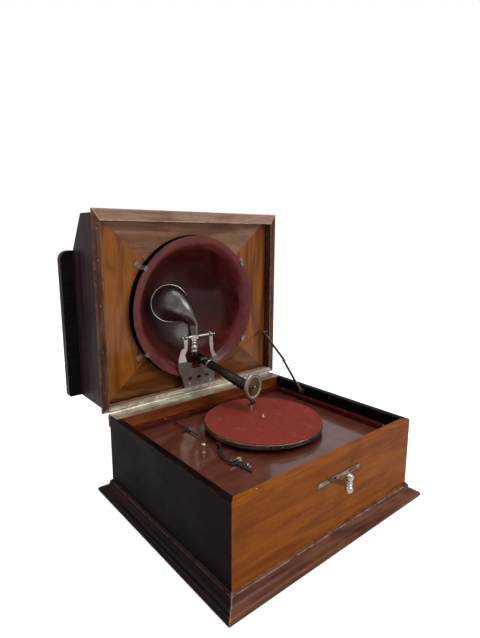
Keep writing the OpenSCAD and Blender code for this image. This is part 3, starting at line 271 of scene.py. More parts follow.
woodLooks = {
    "frontWood": {"grain": "X"},
    # Case sides: the near-black colours are painted shade on the side away from the light
    "sideWoodPaintedShade": {
        **redWood,
        "grain": "Y",
        "dark": tint(10, 4, 3),
        "middle": tint(18, 9, 7),
        "light": tint(28, 15, 12),
        "coat": 0.03,
        "shine": 0.03,
    },
    "rearWood": {**redWood, "grain": "X"},
    "lidSideWood": {
        **redWood,
        "grain": "Z",
        "shift": (0.3, 0, 0),
        "dark": tint(34, 20, 20),
        "middle": tint(48, 31, 32),
        "light": tint(60, 42, 42),
        "stripe": 0.2,
        "grime": 0.7,
    },
    "lidBoardWood": {**redWood, "grain": "X", "shift": (0.6, 0, 0)},
    "topBoardWood": {
        **redWood,
        "dark": tint(20, 13, 14),
        "middle": tint(28, 20, 21),
        "light": tint(36, 26, 27),
        "stripe": 0.1,
        "coat": 0.1,
        "coatRoughness": 0.3,
    },
    # Plinth front: wide pale edges, partly wear and dust and partly painted highlight
    "plinthWoodWornAndHighlit": {
        "dark": tint(64, 32, 24),
        "middle": tint(96, 54, 40),
        "light": tint(122, 76, 58),
        "bare": tint(190, 152, 130),
        "wear": 0.85,
        "wearWidth": 0.0035,
        "gloss": 0.42,
        "coat": 0.15,
        "round": 0.002,
    },
    # Plinth sides: the dark colours are painted shade, with real wear on the edges
    "plinthSidePaintedShade": {
        "grain": "Y",
        "dark": tint(14, 7, 6),
        "middle": tint(24, 14, 12),
        "light": tint(38, 26, 22),
        "bare": tint(128, 98, 84),
        "wear": 0.6,
        "shine": 0.04,
        "wearWidth": 0.003,
        "round": 0.002,
    },
    "railWood": {
        "dark": tint(84, 38, 16),
        "middle": tint(128, 62, 28),
        "light": tint(150, 80, 40),
        "wear": 0.5,
    },
    "boardWood": {
        **redWood,
        "dark": tint(76, 32, 22),
        "middle": tint(90, 40, 28),
        "light": tint(102, 50, 37),
        "stripe": 0.12,
        "coat": 1.0,
        "coatRoughness": 0.1,
        "shine": 0.5,
        "gloss": 0.3,
        "grime": 0.5,
        "wear": 0.0,
    },
    "cleatWood": {
        **redWood,
        "grain": "Y",
        "dark": tint(54, 16, 14),
        "middle": tint(78, 26, 20),
        "light": tint(92, 36, 26),
    },
    "bareWood": {
        "dark": tint(104, 74, 46),
        "middle": tint(142, 106, 68),
        "light": tint(166, 130, 88),
        "coat": 0.0,
        "gloss": 0.7,
        "wear": 0.0,
    },
    # Mouth frame top and bottom: light colours and wide near-white edges, partly wear and partly
    # painted highlight
    "mouthWoodWornAndHighlit": {
        "dark": tint(104, 70, 54),
        "middle": tint(146, 110, 90),
        "light": tint(166, 134, 116),
        "bare": tint(214, 198, 184),
        "wear": 1.0,
        "wearWidth": 0.0045,
        "gloss": 0.42,
    },
    "mouthSideWood": {
        "grain": "Z",
        "dark": tint(52, 30, 27),
        "middle": tint(84, 52, 44),
        "light": tint(106, 70, 54),
        "bare": tint(176, 140, 108),
        "wear": 0.8,
        "wearWidth": 0.004,
        "gloss": 0.4,
    },
    "veneerAbove": {
        **golden,
        "dark": tint(104, 66, 46),
        "middle": tint(134, 92, 68),
        "light": tint(148, 110, 88),
    },
    "veneerBelow": {
        **golden,
        "dark": tint(70, 38, 18),
        "middle": tint(104, 60, 28),
        "light": tint(130, 78, 36),
    },
    "veneerUpright": {**golden, "grain": "Z", "shift": (0.4, 0, 0.2)},
    "gripWood": {**redWood, "grain": "X", "wear": 0.5, "coat": 0.5},
}
materials = {}
for name, look in woodLooks.items():
    materials[name] = woodMaterial(name, {**woodBase, **look})
print("wood materials made")


# Detail, distortion and roughness of the metal's noises, and where each layer starts and ends
metalNoises = {
    "patches": (5, 0.8, 0.62),
    "specks": (3, 0.0, 0.6),
    "brushed": (2, 0.0, 0.5),
    "wipes": (4, 0.3, 0.6),
}
metalSpans = {
    "tarnish": (0.40, 0.70),
    "wipes": (0.42, 0.66),
    "spots": (0.62, 0.74),
    "gloss": (0.3, 0.7),
}
metalRelief = {"depth": 0.00004, "strength": 0.5}


# Plated and machined metal, with tarnish in soft patches
def metalMaterial(name, look):
    shader = Shader(name, Metallic=look["metallic"])
    patches = shader.noise(look["patch"], *metalNoises["patches"])
    specks = shader.noise(look["grit"], *metalNoises["specks"])
    brushed = shader.noise(look["grit"], *metalNoises["brushed"])
    tarnish = shader.span(patches, *metalSpans["tarnish"])
    tarnish = shader.maths("MULTIPLY", tarnish, look["tarnish"])
    colour = shader.mix(tarnish, look["clean"], look["dirty"])
    if look["streak"]:
        wipes = shader.noise(look["streak"], *metalNoises["wipes"])
        colour = shader.mix(shader.span(wipes, *metalSpans["wipes"]), colour, look["dirty"])
    spots = shader.maths("MULTIPLY", shader.span(specks, *metalSpans["spots"]), look["spots"])
    colour = shader.mix(spots, colour, look["spot"])
    gloss = (look["smooth"], look["smooth"] + look["dull"])
    roughness = shader.span(patches, *metalSpans["gloss"], gloss)
    if look["edge"]:
        rubbed = shader.maths("MULTIPLY", shader.edges(look["edgeWidth"]), look["edgeShare"])
        colour = shader.mix(rubbed, colour, look["edge"])
    height = shader.maths("ADD", brushed, specks)
    shader.bumps(height, metalRelief["depth"], metalRelief["strength"], look["round"])
    return shader.paint(colour, roughness)


metalBase = {
    "metallic": 1.0,
    "patch": 60,
    "grit": 900,
    "clean": tint(206, 202, 194),
    "dirty": tint(142, 134, 120),
    "spot": tint(92, 80, 64),
    "tarnish": 0.7,
    "streak": None,
    "spots": 0.35,
    "smooth": 0.16,
    "dull": 0.22,
    "edge": None,
    "edgeWidth": 0.0008,
    "edgeShare": 0.7,
    "round": 0.0003,
}
metalLooks = {
    "nickel": {},
    "satinNickel": {
        "clean": tint(158, 153, 144),
        "dirty": tint(112, 105, 95),
        "patch": 34,
        "smooth": 0.4,
        "dull": 0.14,
        "spots": 0.2,
    },
    "hingeNickel": {
        "clean": tint(216, 210, 196),
        "dirty": tint(140, 130, 114),
        "streak": (5, 260, 260),
        "smooth": 0.34,
        "dull": 0.16,
    },
    "boxBlack": {
        "metallic": 0.2,
        "clean": tint(34, 32, 31),
        "dirty": tint(22, 21, 20),
        "edge": tint(120, 112, 100),
        "smooth": 0.26,
        "dull": 0.16,
        "spots": 0.1,
    },
    "cream": {
        "metallic": 0.0,
        "clean": tint(206, 186, 148),
        "dirty": tint(168, 144, 106),
        "smooth": 0.45,
        "spots": 0.2,
    },
    "dullNickel": {"clean": tint(150, 146, 138), "dirty": tint(96, 90, 80), "smooth": 0.3},
    "bellMetal": {
        "clean": tint(128, 122, 118),
        "dirty": tint(74, 67, 63),
        "patch": 20,
        "smooth": 0.2,
        "dull": 0.12,
        "spots": 0.2,
    },
    "brass": {"clean": tint(196, 164, 100), "dirty": tint(140, 108, 62), "smooth": 0.25},
    "steel": {"clean": tint(150, 150, 148), "dirty": tint(108, 106, 102), "smooth": 0.34},
    "springSteel": {"clean": tint(88, 92, 104), "dirty": tint(58, 60, 68)},
    "goldFoil": {
        "clean": tint(132, 110, 82),
        "dirty": tint(82, 66, 48),
        "patch": 140,
        "smooth": 0.24,
    },
    "darkArm": {
        "metallic": 0.8,
        "clean": tint(74, 62, 54),
        "dirty": tint(40, 33, 29),
        "edge": tint(150, 134, 112),
        "smooth": 0.12,
        "dull": 0.16,
    },
    "blackSteel": {
        "metallic": 0.5,
        "clean": tint(58, 54, 50),
        "dirty": tint(34, 31, 29),
        "edge": tint(126, 118, 106),
        "smooth": 0.32,
    },
    "rimMetal": {"clean": tint(122, 114, 102), "dirty": tint(72, 64, 54), "smooth": 0.28},
    "oldBrass": {"clean": tint(150, 126, 84), "dirty": tint(92, 74, 48), "smooth": 0.34},
}
for name, look in metalLooks.items():
    materials[name] = metalMaterial(name, {**metalBase, **look})

paintLook = {
    "deep": tint(76, 24, 22),
    "main": tint(100, 38, 34),
    "faded": tint(118, 54, 46),
    "inside": tint(52, 14, 13),
    "lit": 0.228,
    "dim": 0.3,
    "dimShare": 0.85,
    "chip": tint(150, 96, 76),
    "chipWidth": 0.002,
    "chipShare": 0.8,
    "coat": 0.3,
    "coatRoughness": 0.18,
    "shine": 0.15,
    "gloss": (0.28, 0.46),
    "clouds": {"scale": 14, "detail": 5, "distortion": 1.2, "roughness": 0.6},
    "specks": {"scale": 260, "detail": 4, "distortion": 0.2, "roughness": 0.6},
    "cloudStops": (0.3, 0.5, 0.74),
    "chipSpan": (0.45, 0.6),
    "glossSpan": (0.3, 0.7),
    "depth": 0.0003,
    "strength": 0.35,
}


# Gloss paint on the spun bowl, faded in clouds, with painted shade darkening it towards its depth
def bowlMaterial(look):
    shader = Shader(
        "bowlPaint",
        Coat_Weight=look["coat"],
        Coat_Roughness=look["coatRoughness"],
        Specular_IOR_Level=look["shine"],
    )
    clouds = shader.noise(**look["clouds"], shift=tuple(-part for part in middle("bowl")))
    specks = shader.noise(**look["specks"])
    shades = (look["deep"], look["main"], look["faded"])
    colour = shader.ramp(clouds, list(zip(look["cloudStops"], shades)))
    # Painted shade: deeper in the bowl the paint is mixed towards a dark colour
    depth = shader.span(shader.axis("Y"), look["lit"], look["dim"], (0.0, look["dimShare"]))
    colour = shader.mix(depth, colour, look["inside"])
    rubbed = shader.edges(look["chipWidth"])
    chips = shader.maths("MULTIPLY", rubbed, shader.span(specks, *look["chipSpan"]))
    chips = shader.maths("MULTIPLY", chips, look["chipShare"])
    colour = shader.mix(chips, colour, look["chip"])
    roughness = shader.span(clouds, *look["glossSpan"], look["gloss"])
    shader.bumps(shader.maths("ADD", specks, clouds), look["depth"], look["strength"])
    return shader.paint(colour, roughness)


materials["bowlPaint"] = bowlMaterial(paintLook)

feltLook = {
    "low": tint(92, 24, 18),
    "main": tint(128, 40, 29),
    "high": tint(148, 58, 42),
    "dust": tint(162, 98, 78),
    "dustShare": 0.35,
    "lowShare": 0.4,
    "sheen": 0.35,
    "sheenRoughness": 0.5,
    "sheenTint": tint(214, 130, 110),
    "shine": 0.2,
    "dull": 0.95,
    "nap": {"scale": (1300, 1300, 500), "detail": 5, "distortion": 1.5, "roughness": 0.7},
    "mottle": {"scale": 60, "detail": 5, "distortion": 0.6, "roughness": 0.65},
    "napStops": (0.25, 0.5, 0.78),
    "dustSpan": (0.5, 0.8),
    "lowSpan": (0.45, 0.2),
    "depth": 0.0005,
    "strength": 0.8,
}


# Wool felt with a short nap and dust in its worn patches
def feltMaterial(look):
    shader = Shader(
        "felt",
        Roughness=look["dull"],
        Sheen_Weight=look["sheen"],
        Sheen_Roughness=look["sheenRoughness"],
        Sheen_Tint=look["sheenTint"],
        Specular_IOR_Level=look["shine"],
    )
    fibres = shader.noise(**look["nap"])
    mottle = shader.noise(**look["mottle"])
    shades = (look["low"], look["main"], look["high"])
    colour = shader.ramp(fibres, list(zip(look["napStops"], shades)))
    dust = shader.span(mottle, *look["dustSpan"], (0.0, look["dustShare"]))
    colour = shader.mix(dust, colour, look["dust"])
    hollows = shader.span(mottle, *look["lowSpan"], (0.0, look["lowShare"]))
    colour = shader.mix(hollows, colour, look["low"])
    shader.bumps(fibres, look["depth"], look["strength"])
    return shader.paint(colour)


materials["felt"] = feltMaterial(feltLook)
print("metal, paint and felt made")

nodeFinish = {
    "frontWood": ["case_front"],
    "sideWoodPaintedShade": ["case_sides"],
    "rearWood": ["case_rear"],
    "lidSideWood": ["lid_sides"],
    "lidBoardWood": ["lid_rear_wall", "lid_front_wall", "lid_slope", "lid_back"],
    "topBoardWood": ["top_board"],
    "plinthWoodWornAndHighlit": ["plinth_front", "plinth_rear"],
    "plinthSidePaintedShade": ["plinth_sides"],
    "railWood": ["hinge_rail"],
    "boardWood": ["motor_board", "front_board"],
    "cleatWood": ["board_cleats"],
    "bareWood": ["base_board", "board_ledgers"],
    "mouthWoodWornAndHighlit": ["mouth_bottom", "mouth_top"],
    "mouthSideWood": ["mouth_sides"],
    "veneerAbove": ["panel_top"],
    "veneerBelow": ["panel_bottom"],
    "veneerUpright": ["panel_sides"],
    "gripWood": ["crank_grip"],
    "nickel": [
        "crossbar",
        "front_lever",
        "brake_clip",
        "speed_peg",
        "crank",
        "needle",
        "spindle",
    ],
    "satinNickel": ["arm_bracket"],
    "hingeNickel": ["hinge_lower_leaf", "hinge_upper_leaf"],
    "dullNickel": [
        "guide_plate",
        "guide_screws",
        "stay_bracket",
        "stay_stud",
        "stay_lower",
        "stay_upper",
        "bowl_clips",
    ],
    "boxBlack": ["soundbox"],
    "rimMetal": ["platter"],
    "bellMetal": ["gooseneck"],
    "darkArm": ["elbow", "arm_tube"],
    "brass": ["crank_escutcheon", "spring_barrel", "second_wheel", "governor"],
    "steel": ["motor_plate", "motor_bridge", "motor_pillars", "winding_arbor"],
    "springSteel": ["mainspring"],
    "felt": ["felt_mat"],
    "bowlPaint": ["bowl"],
    "blackSteel": ["brake_lever", "speed_lever"],
}
for finish, names in nodeFinish.items():
    for name in names:
        mesh = nodes[name].data
        mesh.materials.clear()
        mesh.materials.append(materials[finish])
print("nodes finished")


# Every new piece rides on a body and takes one finish
def piece(name, shape, body, finish):
    bmesh.ops.remove_doubles(shape, verts=shape.verts, dist=1e-6)
    bmesh.ops.recalc_face_normals(shape, faces=shape.faces)
    mesh = bpy.data.meshes.new(name)
    shape.to_mesh(mesh)
    shape.free()
    for polygon in mesh.polygons:
        polygon.use_smooth = True
    mesh.materials.append(materials[finish])
    made = bpy.data.objects.new(name, mesh)
    scene.collection.objects.link(made)
    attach(made, body)


# Turns a shape's own Z axis to the way it looks, and sets it in its place
def placed(place, aim):
    turn = Vector((0, 0, 1)).rotation_difference(Vector(aim)).to_matrix().to_4x4()
    return Matrix.Translation(place) @ turn


# A turned shape from points given as (radius, height), spun about an axis through a place
def turned(shape, outline, place, axis, steps):
    verts = [shape.verts.new((radius, 0, height)) for radius, height in outline]
    edges = [shape.edges.new(pair) for pair in zip(verts, verts[1:])]
    bmesh.ops.spin(
        shape,
        geom=verts + edges,
        cent=(0, 0, 0),
        axis=(0, 0, 1),
        angle=math.tau,
        steps=steps,
        use_merge=True,
        use_duplicate=False,
    )
    whole = set(verts)
    grow = list(verts)
    while grow:
        vert = grow.pop()
        for edge in vert.link_edges:
            other = edge.other_vert(vert)
            if other not in whole:
                whole.add(other)
                grow.append(other)
    bmesh.ops.transform(shape, matrix=placed(place, axis), verts=list(whole))


# A round bead, such as a rolled rim
def ring(shape, place, aim, radius, thickness, steps, section=12):
    outline = []
    for step in range(section + 1):
        angle = math.tau * step / section
        outline.append((radius + thickness * math.cos(angle), thickness * math.sin(angle)))
    turned(shape, outline, place, aim, steps)


headLook = {"around": 20, "up": 10, "slotWidth": 0.224, "slotFrom": 0.35, "slotDepth": 0.45}


# A domed screw head with a cut slot. The slot's sizes are shares of the head's radius and rise.
def screwHead(shape, place, axis, radius, rise, slotTurn):
    look = headLook
    made = bmesh.ops.create_uvsphere(
        shape, u_segments=look["around"], v_segments=look["up"], radius=radius
    )["verts"]
    bmesh.ops.scale(shape, vec=(1, 1, rise / radius), verts=made)
    faces = list({face for vert in made for face in vert.link_faces})
    cut = bmesh.ops.bisect_plane(
        shape,
        geom=made + faces + list({edge for vert in made for edge in vert.link_edges}),
        plane_co=(0, 0, 0),
        plane_no=(0, 0, 1),
        clear_inner=True,
    )
    verts = [part for part in cut["geom"] if isinstance(part, bmesh.types.BMVert)]
    width, start = radius * look["slotWidth"], rise * look["slotFrom"]
    slot = [vert for vert in verts if abs(vert.co.x) < width and vert.co.z > start]
    bmesh.ops.translate(shape, vec=(0, 0, -rise * look["slotDepth"]), verts=slot)
    spin = Matrix.Rotation(slotTurn, 4, "Z")
    bmesh.ops.transform(shape, matrix=placed(place, axis) @ spin, verts=verts)


boxPlace = Vector((40, 62, 208)) * mm
boxAim = Vector((0.2078, -0.9776, 0.0349)).normalized()

diaphragmLook = {
    "hub": 5.2 * mm,
    "start": 5.4 * mm,
    "radius": 21.6 * mm,
    "base": 0.25 * mm,
    "lift": 0.15 * mm,
    "ridge": 0.45 * mm,
    "rings": 5,
    "stepsPerRing": 8,
    "edge": 0.1 * mm,
    "around": 64,
}


# Corrugated diaphragm under the soundbox's rim
def buildDiaphragm(look):
    outline = [(look["hub"], look["base"])]
    steps = look["rings"] * look["stepsPerRing"]
    for step in range(steps + 1):
        share = step / steps
        radius = look["start"] + share * (look["radius"] - look["start"])
        wave = 0.5 - 0.5 * math.cos(share * look["rings"] * math.tau)
        outline.append((radius, look["base"] + look["lift"] + wave * look["ridge"]))
    outline.append((look["radius"] + look["edge"], look["base"]))
    shape = bmesh.new()
    turned(shape, outline, boxPlace, boxAim, look["around"])
    piece("diaphragm", shape, "sound_head", "goldFoil")


buildDiaphragm(diaphragmLook)

gasketLook = {
    "outline": [(21.4, 0.2), (21.5, 1.0), (22.0, 1.5), (23.0, 1.5), (23.4, 1.0), (23.4, 0.2)],
    "around": 64,
}
faceRimLook = {
    "radius": 26,
    "thickness": 4.2,
    "behind": 2,
    "from": -20,
    "sweep": 170,
    "steps": 16,
    "around": 72,
}


# Cream gasket round the diaphragm, and the rounded face ring outside it
def buildBoxRings(gasket, rim):
    shape = bmesh.new()
    outline = [(radius * mm, height * mm) for radius, height in gasket["outline"]]
    turned(shape, outline, boxPlace, boxAim, gasket["around"])
    piece("gasketRing", shape, "sound_head", "cream")

    outline = []
    for step in range(rim["steps"] + 1):
        angle = math.radians(rim["from"] + rim["sweep"] * step / rim["steps"])
        radius = rim["radius"] + rim["thickness"] * math.cos(angle)
        outline.append((radius * mm, (rim["thickness"] * math.sin(angle) - rim["behind"]) * mm))
    shape = bmesh.new()
    turned(shape, outline, boxPlace, boxAim, rim["around"])
    piece("faceRim", shape, "sound_head", "satinNickel")


buildBoxRings(gasketLook, faceRimLook)

boxScrewLook = {
    "centre": {"height": 3.6 * mm, "radius": 2.4 * mm, "rise": 1.2 * mm, "slotTurn": 0.6},
    "outer": {"reach": 27 * mm, "height": 2 * mm, "radius": 1.5 * mm, "rise": 0.6 * mm},
    "turns": (30, 150, 270),
}


# The diaphragm's centre screw and three screws round the face ring
def buildBoxScrews(look):
    centre, outer = look["centre"], look["outer"]
    shape = bmesh.new()
    place = boxPlace + boxAim * centre["height"]
    screwHead(shape, place, boxAim, centre["radius"], centre["rise"], centre["slotTurn"])
    side = boxAim.cross(Vector((0, 0, 1))).normalized()
    rise = side.cross(boxAim)
    for turn in look["turns"]:
        angle = math.radians(turn)
        out = (side * math.cos(angle) + rise * math.sin(angle)) * outer["reach"]
        place = boxPlace + out + boxAim * outer["height"]
        screwHead(shape, place, boxAim, outer["radius"], outer["rise"], angle)
    piece("soundboxScrews", shape, "sound_head", "nickel")


buildBoxScrews(boxScrewLook)

bellLook = {
    "place": (-41.3, 264.6, 373.1),
    "aim": (0.3004, 0.9527, -0.0471),
    "radius": 43.0 * mm,
    "bead": 1.25 * mm,
    "around": 72,
}


# Rolled edge of the bell
def buildBellBead(look):
    place, aim = Vector(look["place"]) * mm, Vector(look["aim"]).normalized()
    shape = bmesh.new()
    ring(shape, place, aim, look["radius"], look["bead"], look["around"])
    piece("bellBead", shape, "arm_yoke", "nickel")


buildBellBead(bellLook)

bowlBeadLook = {
    "radius": 159.6 * mm,
    "bead": 1.3 * mm,
    "behind": 1.35 * mm,
    "around": 128,
    "section": 10,
}


# Rolled edge of the bowl, behind its flange
def buildBowlBead(look):
    centre = middle("bowl")
    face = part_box("bowl")[0].y
    place = Vector((centre.x, face + look["behind"], centre.z))
    shape = bmesh.new()
    steps, section = look["around"], look["section"]
    ring(shape, place, Vector((0, 1, 0)), look["radius"], look["bead"], steps, section)
    piece("bowlBead", shape, "lid", "bowlPaint")


buildBowlBead(bowlBeadLook)

deckScrewLook = {
    "radius": 2.6 * mm,
    "rise": 0.8 * mm,
    "inset": 6 * mm,
    "alongSides": [(-150, 0), (-52, 1.1), (46, 2.2), (140, 3.3)],
    "alongRear": [(-120, 0.4), (0, 1.2), (120, 2.0)],
}


# Brass screws in the raised strips round the deck, each with its place and its slot's turn
def buildDeckScrews(look):
    low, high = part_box("board_cleats")
    screws = []
    for x in (low.x + look["inset"], high.x - look["inset"]):
        screws += [(x, y * mm, slotTurn) for y, slotTurn in look["alongSides"]]
    rear = high.y - look["inset"]
    screws += [(x * mm, rear, slotTurn) for x, slotTurn in look["alongRear"]]
    shape = bmesh.new()
    for x, y, slotTurn in screws:
        place = Vector((x, y, high.z))
        screwHead(shape, place, (0, 0, 1), look["radius"], look["rise"], slotTurn)
    piece("deckScrews", shape, "case", "oldBrass")


buildDeckScrews(deckScrewLook)

hingeScrewLook = {
    "radius": 1.9 * mm,
    "rise": 0.12 * mm,
    "lowerShare": 0.4,
    "count": 9,
    "seam": 169 * mm,
    "upper": 8.5 * mm,
    "lower": 12 * mm,
    "leaf": 0.8 * mm,
    "upperTurn": 0.9,
    "lowerTurn": 1.3,
}


# Flat screws in both leaves of the hinge, low enough that the leaves still close
def buildHingeScrews(look):
    low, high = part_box("hinge_upper_leaf")
    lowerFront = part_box("hinge_lower_leaf")[0].y
    lidScrews, caseScrews = bmesh.new(), bmesh.new()
    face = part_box("mouth_bottom")[0].y - look["leaf"]
    radius, rise, lowRise = look["radius"], look["rise"], look["rise"] * look["lowerShare"]
    for index in range(look["count"]):
        x = low.x + (high.x - low.x) * (index + 0.5) / look["count"]
        place = Vector((x, face, look["seam"] + look["upper"]))
        screwHead(lidScrews, place, (0, -1, 0), radius, rise, index * look["upperTurn"])
        place = Vector((x, lowerFront + look["lower"], look["seam"]))
        screwHead(caseScrews, place, (0, 0, 1), radius, lowRise, index * look["lowerTurn"])
    piece("upperHingeScrews", lidScrews, "lid", "nickel")
    piece("lowerHingeScrews", caseScrews, "case", "nickel")


buildHingeScrews(hingeScrewLook)

mouthPinLook = {
    "radius": 1.3 * mm,
    "rise": 0.4 * mm,
    "inset": 8 * mm,
    "heights": (215, 300, 392, 480, 540),
    "alongTop": (-150, -50, 50, 150),
    "turnPerMm": 0.1,
}


# Small brass pins along the mouth frame
def buildMouthPins(look):
    low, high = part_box("mouth_sides")
    pins = []
    for x in (low.x + look["inset"], high.x - look["inset"]):
        pins += [(x, z * mm, z) for z in look["heights"]]
    top = high.z - look["inset"]
    pins += [(x * mm, top, x) for x in look["alongTop"]]
    shape = bmesh.new()
    for x, z, step in pins:
        place, slotTurn = Vector((x, low.y, z)), step * look["turnPerMm"]
        screwHead(shape, place, (0, -1, 0), look["radius"], look["rise"], slotTurn)
    piece("mouthPins", shape, "lid", "oldBrass")


buildMouthPins(mouthPinLook)

rivetLook = {"count": 28, "radius": 1.1 * mm, "sunk": 0.15 * mm, "squeeze": 0.3}


# Flat rivets round the platter's turned-down rim
def buildPlatterRivets(look):
    low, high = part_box("platter")
    centre = middle("platter")
    reach = (high.x - low.x) / 2 - look["sunk"]
    squeeze = Matrix.Diagonal((look["squeeze"], 1, 1, 1))
    shape = bmesh.new()
    for index in range(look["count"]):
        angle = math.tau * index / look["count"]
        out = Vector((math.cos(angle), math.sin(angle), 0))
        made = bmesh.ops.create_icosphere(shape, subdivisions=2, radius=look["radius"])["verts"]
        turn = Vector((1, 0, 0)).rotation_difference(out).to_matrix().to_4x4()
        move = Matrix.Translation(centre + out * reach) @ turn @ squeeze
        bmesh.ops.transform(shape, matrix=move, verts=made)
    piece("platterRivets", shape, "turntable", "nickel")


buildPlatterRivets(rivetLook)

wingLook = {
    "place": (-8.2, 228, 250.5),
    "outline": [(0, -1), (3.0, -1), (3.0, 1.2), (1.6, 2), (1.6, 7), (0, 8)],
    "around": 20,
    "wing": (1.4 * mm, 11 * mm, 6 * mm),
    "wingAt": (-8 * mm, 0, 0),
    "waist": 0.18,
    "pinch": 0.72,
    "turn": 0.5,
}


# Wing screw that clamps the elbow to the swinging collar
def buildWingScrew(look):
    place = Vector(look["place"]) * mm
    outline = [(radius * mm, height * mm) for radius, height in look["outline"]]
    shape = bmesh.new()
    turned(shape, outline, place, (-1, 0, 0), look["around"])
    wing = bmesh.ops.create_uvsphere(shape, u_segments=20, v_segments=12, radius=0.5)["verts"]
    bmesh.ops.scale(shape, vec=look["wing"], verts=wing)
    pinched = [vert for vert in wing if abs(vert.co.y) < look["waist"] * look["wing"][1]]
    bmesh.ops.scale(shape, vec=(1, 1, look["pinch"]), verts=pinched)
    turn = Matrix.Rotation(look["turn"], 4, "X")
    move = Matrix.Translation(place + Vector(look["wingAt"])) @ turn
    bmesh.ops.transform(shape, matrix=move, verts=wing)
    piece("wingScrew", shape, "arm_elbow", "darkArm")


buildWingScrew(wingLook)

armRingLook = {
    "fold": (7, 205, 243),
    "end": (35, 85.5, 207.2),
    "at": 21,
    "around": 48,
    "outline": [
        (9.9, -2.2),
        (10.5, -2.0),
        (10.9, -1.2),
        (10.4, 0),
        (10.9, 1.2),
        (10.5, 2.0),
        (9.9, 2.2),
    ],
}
sleeveLook = {
    "place": (0, 231, 0),
    "around": 48,
    "outline": [
        (9.1, 258),
        (9.8, 258.4),
        (10.6, 260.5),
        (9.8, 262.8),
        (9.4, 264),
        (9.4, 266.5),
        (10.3, 268.6),
        (10.3, 270.4),
        (9.4, 272.4),
        (9.3, 274.3),
        (6.6, 275),
        (6.6, 276.6),
        (8.2, 278.2),
        (8.4, 280.4),
        (7.4, 282.6),
        (6.4, 283.4),
    ],
}


# Plated ring on the arm by its fold, and the plated sleeve with two bulges above the elbow
def buildArmRings(ringLook, sleeveLook):
    fold, end = Vector(ringLook["fold"]), Vector(ringLook["end"])
    aim = (end - fold).normalized()
    shape = bmesh.new()
    outline = [(radius * mm, height * mm) for radius, height in ringLook["outline"]]
    turned(shape, outline, (fold + aim * ringLook["at"]) * mm, aim, ringLook["around"])
    piece("armRing", shape, "tonearm", "nickel")

    shape = bmesh.new()
    outline = [(radius * mm, height * mm) for radius, height in sleeveLook["outline"]]
    place = Vector(sleeveLook["place"]) * mm
    turned(shape, outline, place, (0, 0, 1), sleeveLook["around"])
    piece("elbowSleeve", shape, "arm_elbow", "nickel")


buildArmRings(armRingLook, sleeveLook)

ferruleLook = {"radius": 6.9 * mm, "bead": 1.1 * mm, "inset": 1.2 * mm, "around": 40}


# A brass bead at each end of the crank's grip
def buildFerrules(look):
    low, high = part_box("crank_grip")
    centre = middle("crank_grip")
    shape = bmesh.new()
    for x in (low.x + look["inset"], high.x - look["inset"]):
        place = Vector((x, centre.y, centre.z))
        ring(shape, place, Vector((1, 0, 0)), look["radius"], look["bead"], look["around"])
    piece("gripFerrules", shape, "winder_grip", "brass")


buildFerrules(ferruleLook)

escutcheonScrewLook = {
    "count": 3,
    "start": 0.5,
    "reach": 12.4 * mm,
    "plate": 2 * mm,
    "radius": 2 * mm,
    "rise": 0.6 * mm,
    "slotStep": 1.2,
}


# Screws round the crank's escutcheon, on the right wall
def buildEscutcheonScrews(look):
    centre = middle("crank_escutcheon")
    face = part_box("case_sides")[1].x + look["plate"]
    shape = bmesh.new()
    for index in range(look["count"]):
        angle = math.tau * index / look["count"] + look["start"]
        place = Vector((face, centre.y, centre.z))
        place += Vector((0, math.cos(angle), math.sin(angle))) * look["reach"]
        slotTurn = index * look["slotStep"]
        screwHead(shape, place, (1, 0, 0), look["radius"], look["rise"], slotTurn)
    piece("escutcheonScrews", shape, "case", "brass")


buildEscutcheonScrews(escutcheonScrewLook)

boltLook = {
    "radius": 3.1 * mm,
    "rows": [
        {
            "places": ((-26, 221, 296), (44, 221, 296)),
            "aim": (0, -1, 0.1),
            "rise": 1.4 * mm,
            "slotTurn": 0.4,
        },
        {
            "places": ((-28, 206.8, 190), (31, 206.8, 190)),
            "aim": (0, -1, 0),
            "rise": 0.6 * mm,
            "slotTurn": 0.9,
        },
    ],
}


# Domed bolts through the bracket's two ears, and flatter ones through its foot
def buildBracketBolts(look):
    shape = bmesh.new()
    for row in look["rows"]:
        for place in row["places"]:
            place = Vector(place) * mm
            screwHead(shape, place, row["aim"], look["radius"], row["rise"], row["slotTurn"])
    piece("bracketBolts", shape, "lid", "nickel")


buildBracketBolts(boltLook)

rimPinLook = {
    "place": (-176.5, -189.5, 169),
    "radius": 1.8 * mm,
    "rise": 0.7 * mm,
    "slotTurn": 0.2,
}


# Brass pin on the case's front rim
def buildRimPin(look):
    shape = bmesh.new()
    place = Vector(look["place"]) * mm
    screwHead(shape, place, (0, 0, 1), look["radius"], look["rise"], look["slotTurn"])
    piece("rimPin", shape, "case", "brass")


buildRimPin(rimPinLook)
print("small pieces made")

floorLook = {
    "colour": tint(247, 246, 245),
    "fleck": tint(251, 250, 249),
    "flecks": {"scale": 3, "detail": 2, "distortion": 0.0, "roughness": 0.5},
    "dull": 0.9,
    "shine": 0.1,
    "size": 14.0,
    "glow": 0.7,
}


# The paper glows a little to the camera, so it fades into the white behind it
def brightenFloor(shader, strength):
    path = shader.add("ShaderNodeLightPath")
    glow = shader.maths("MULTIPLY", path.outputs["Is Camera Ray"], strength)
    shader.surface.inputs["Emission Color"].default_value = (1, 1, 1, 1)
    shader.link(glow, shader.surface.inputs["Emission Strength"])


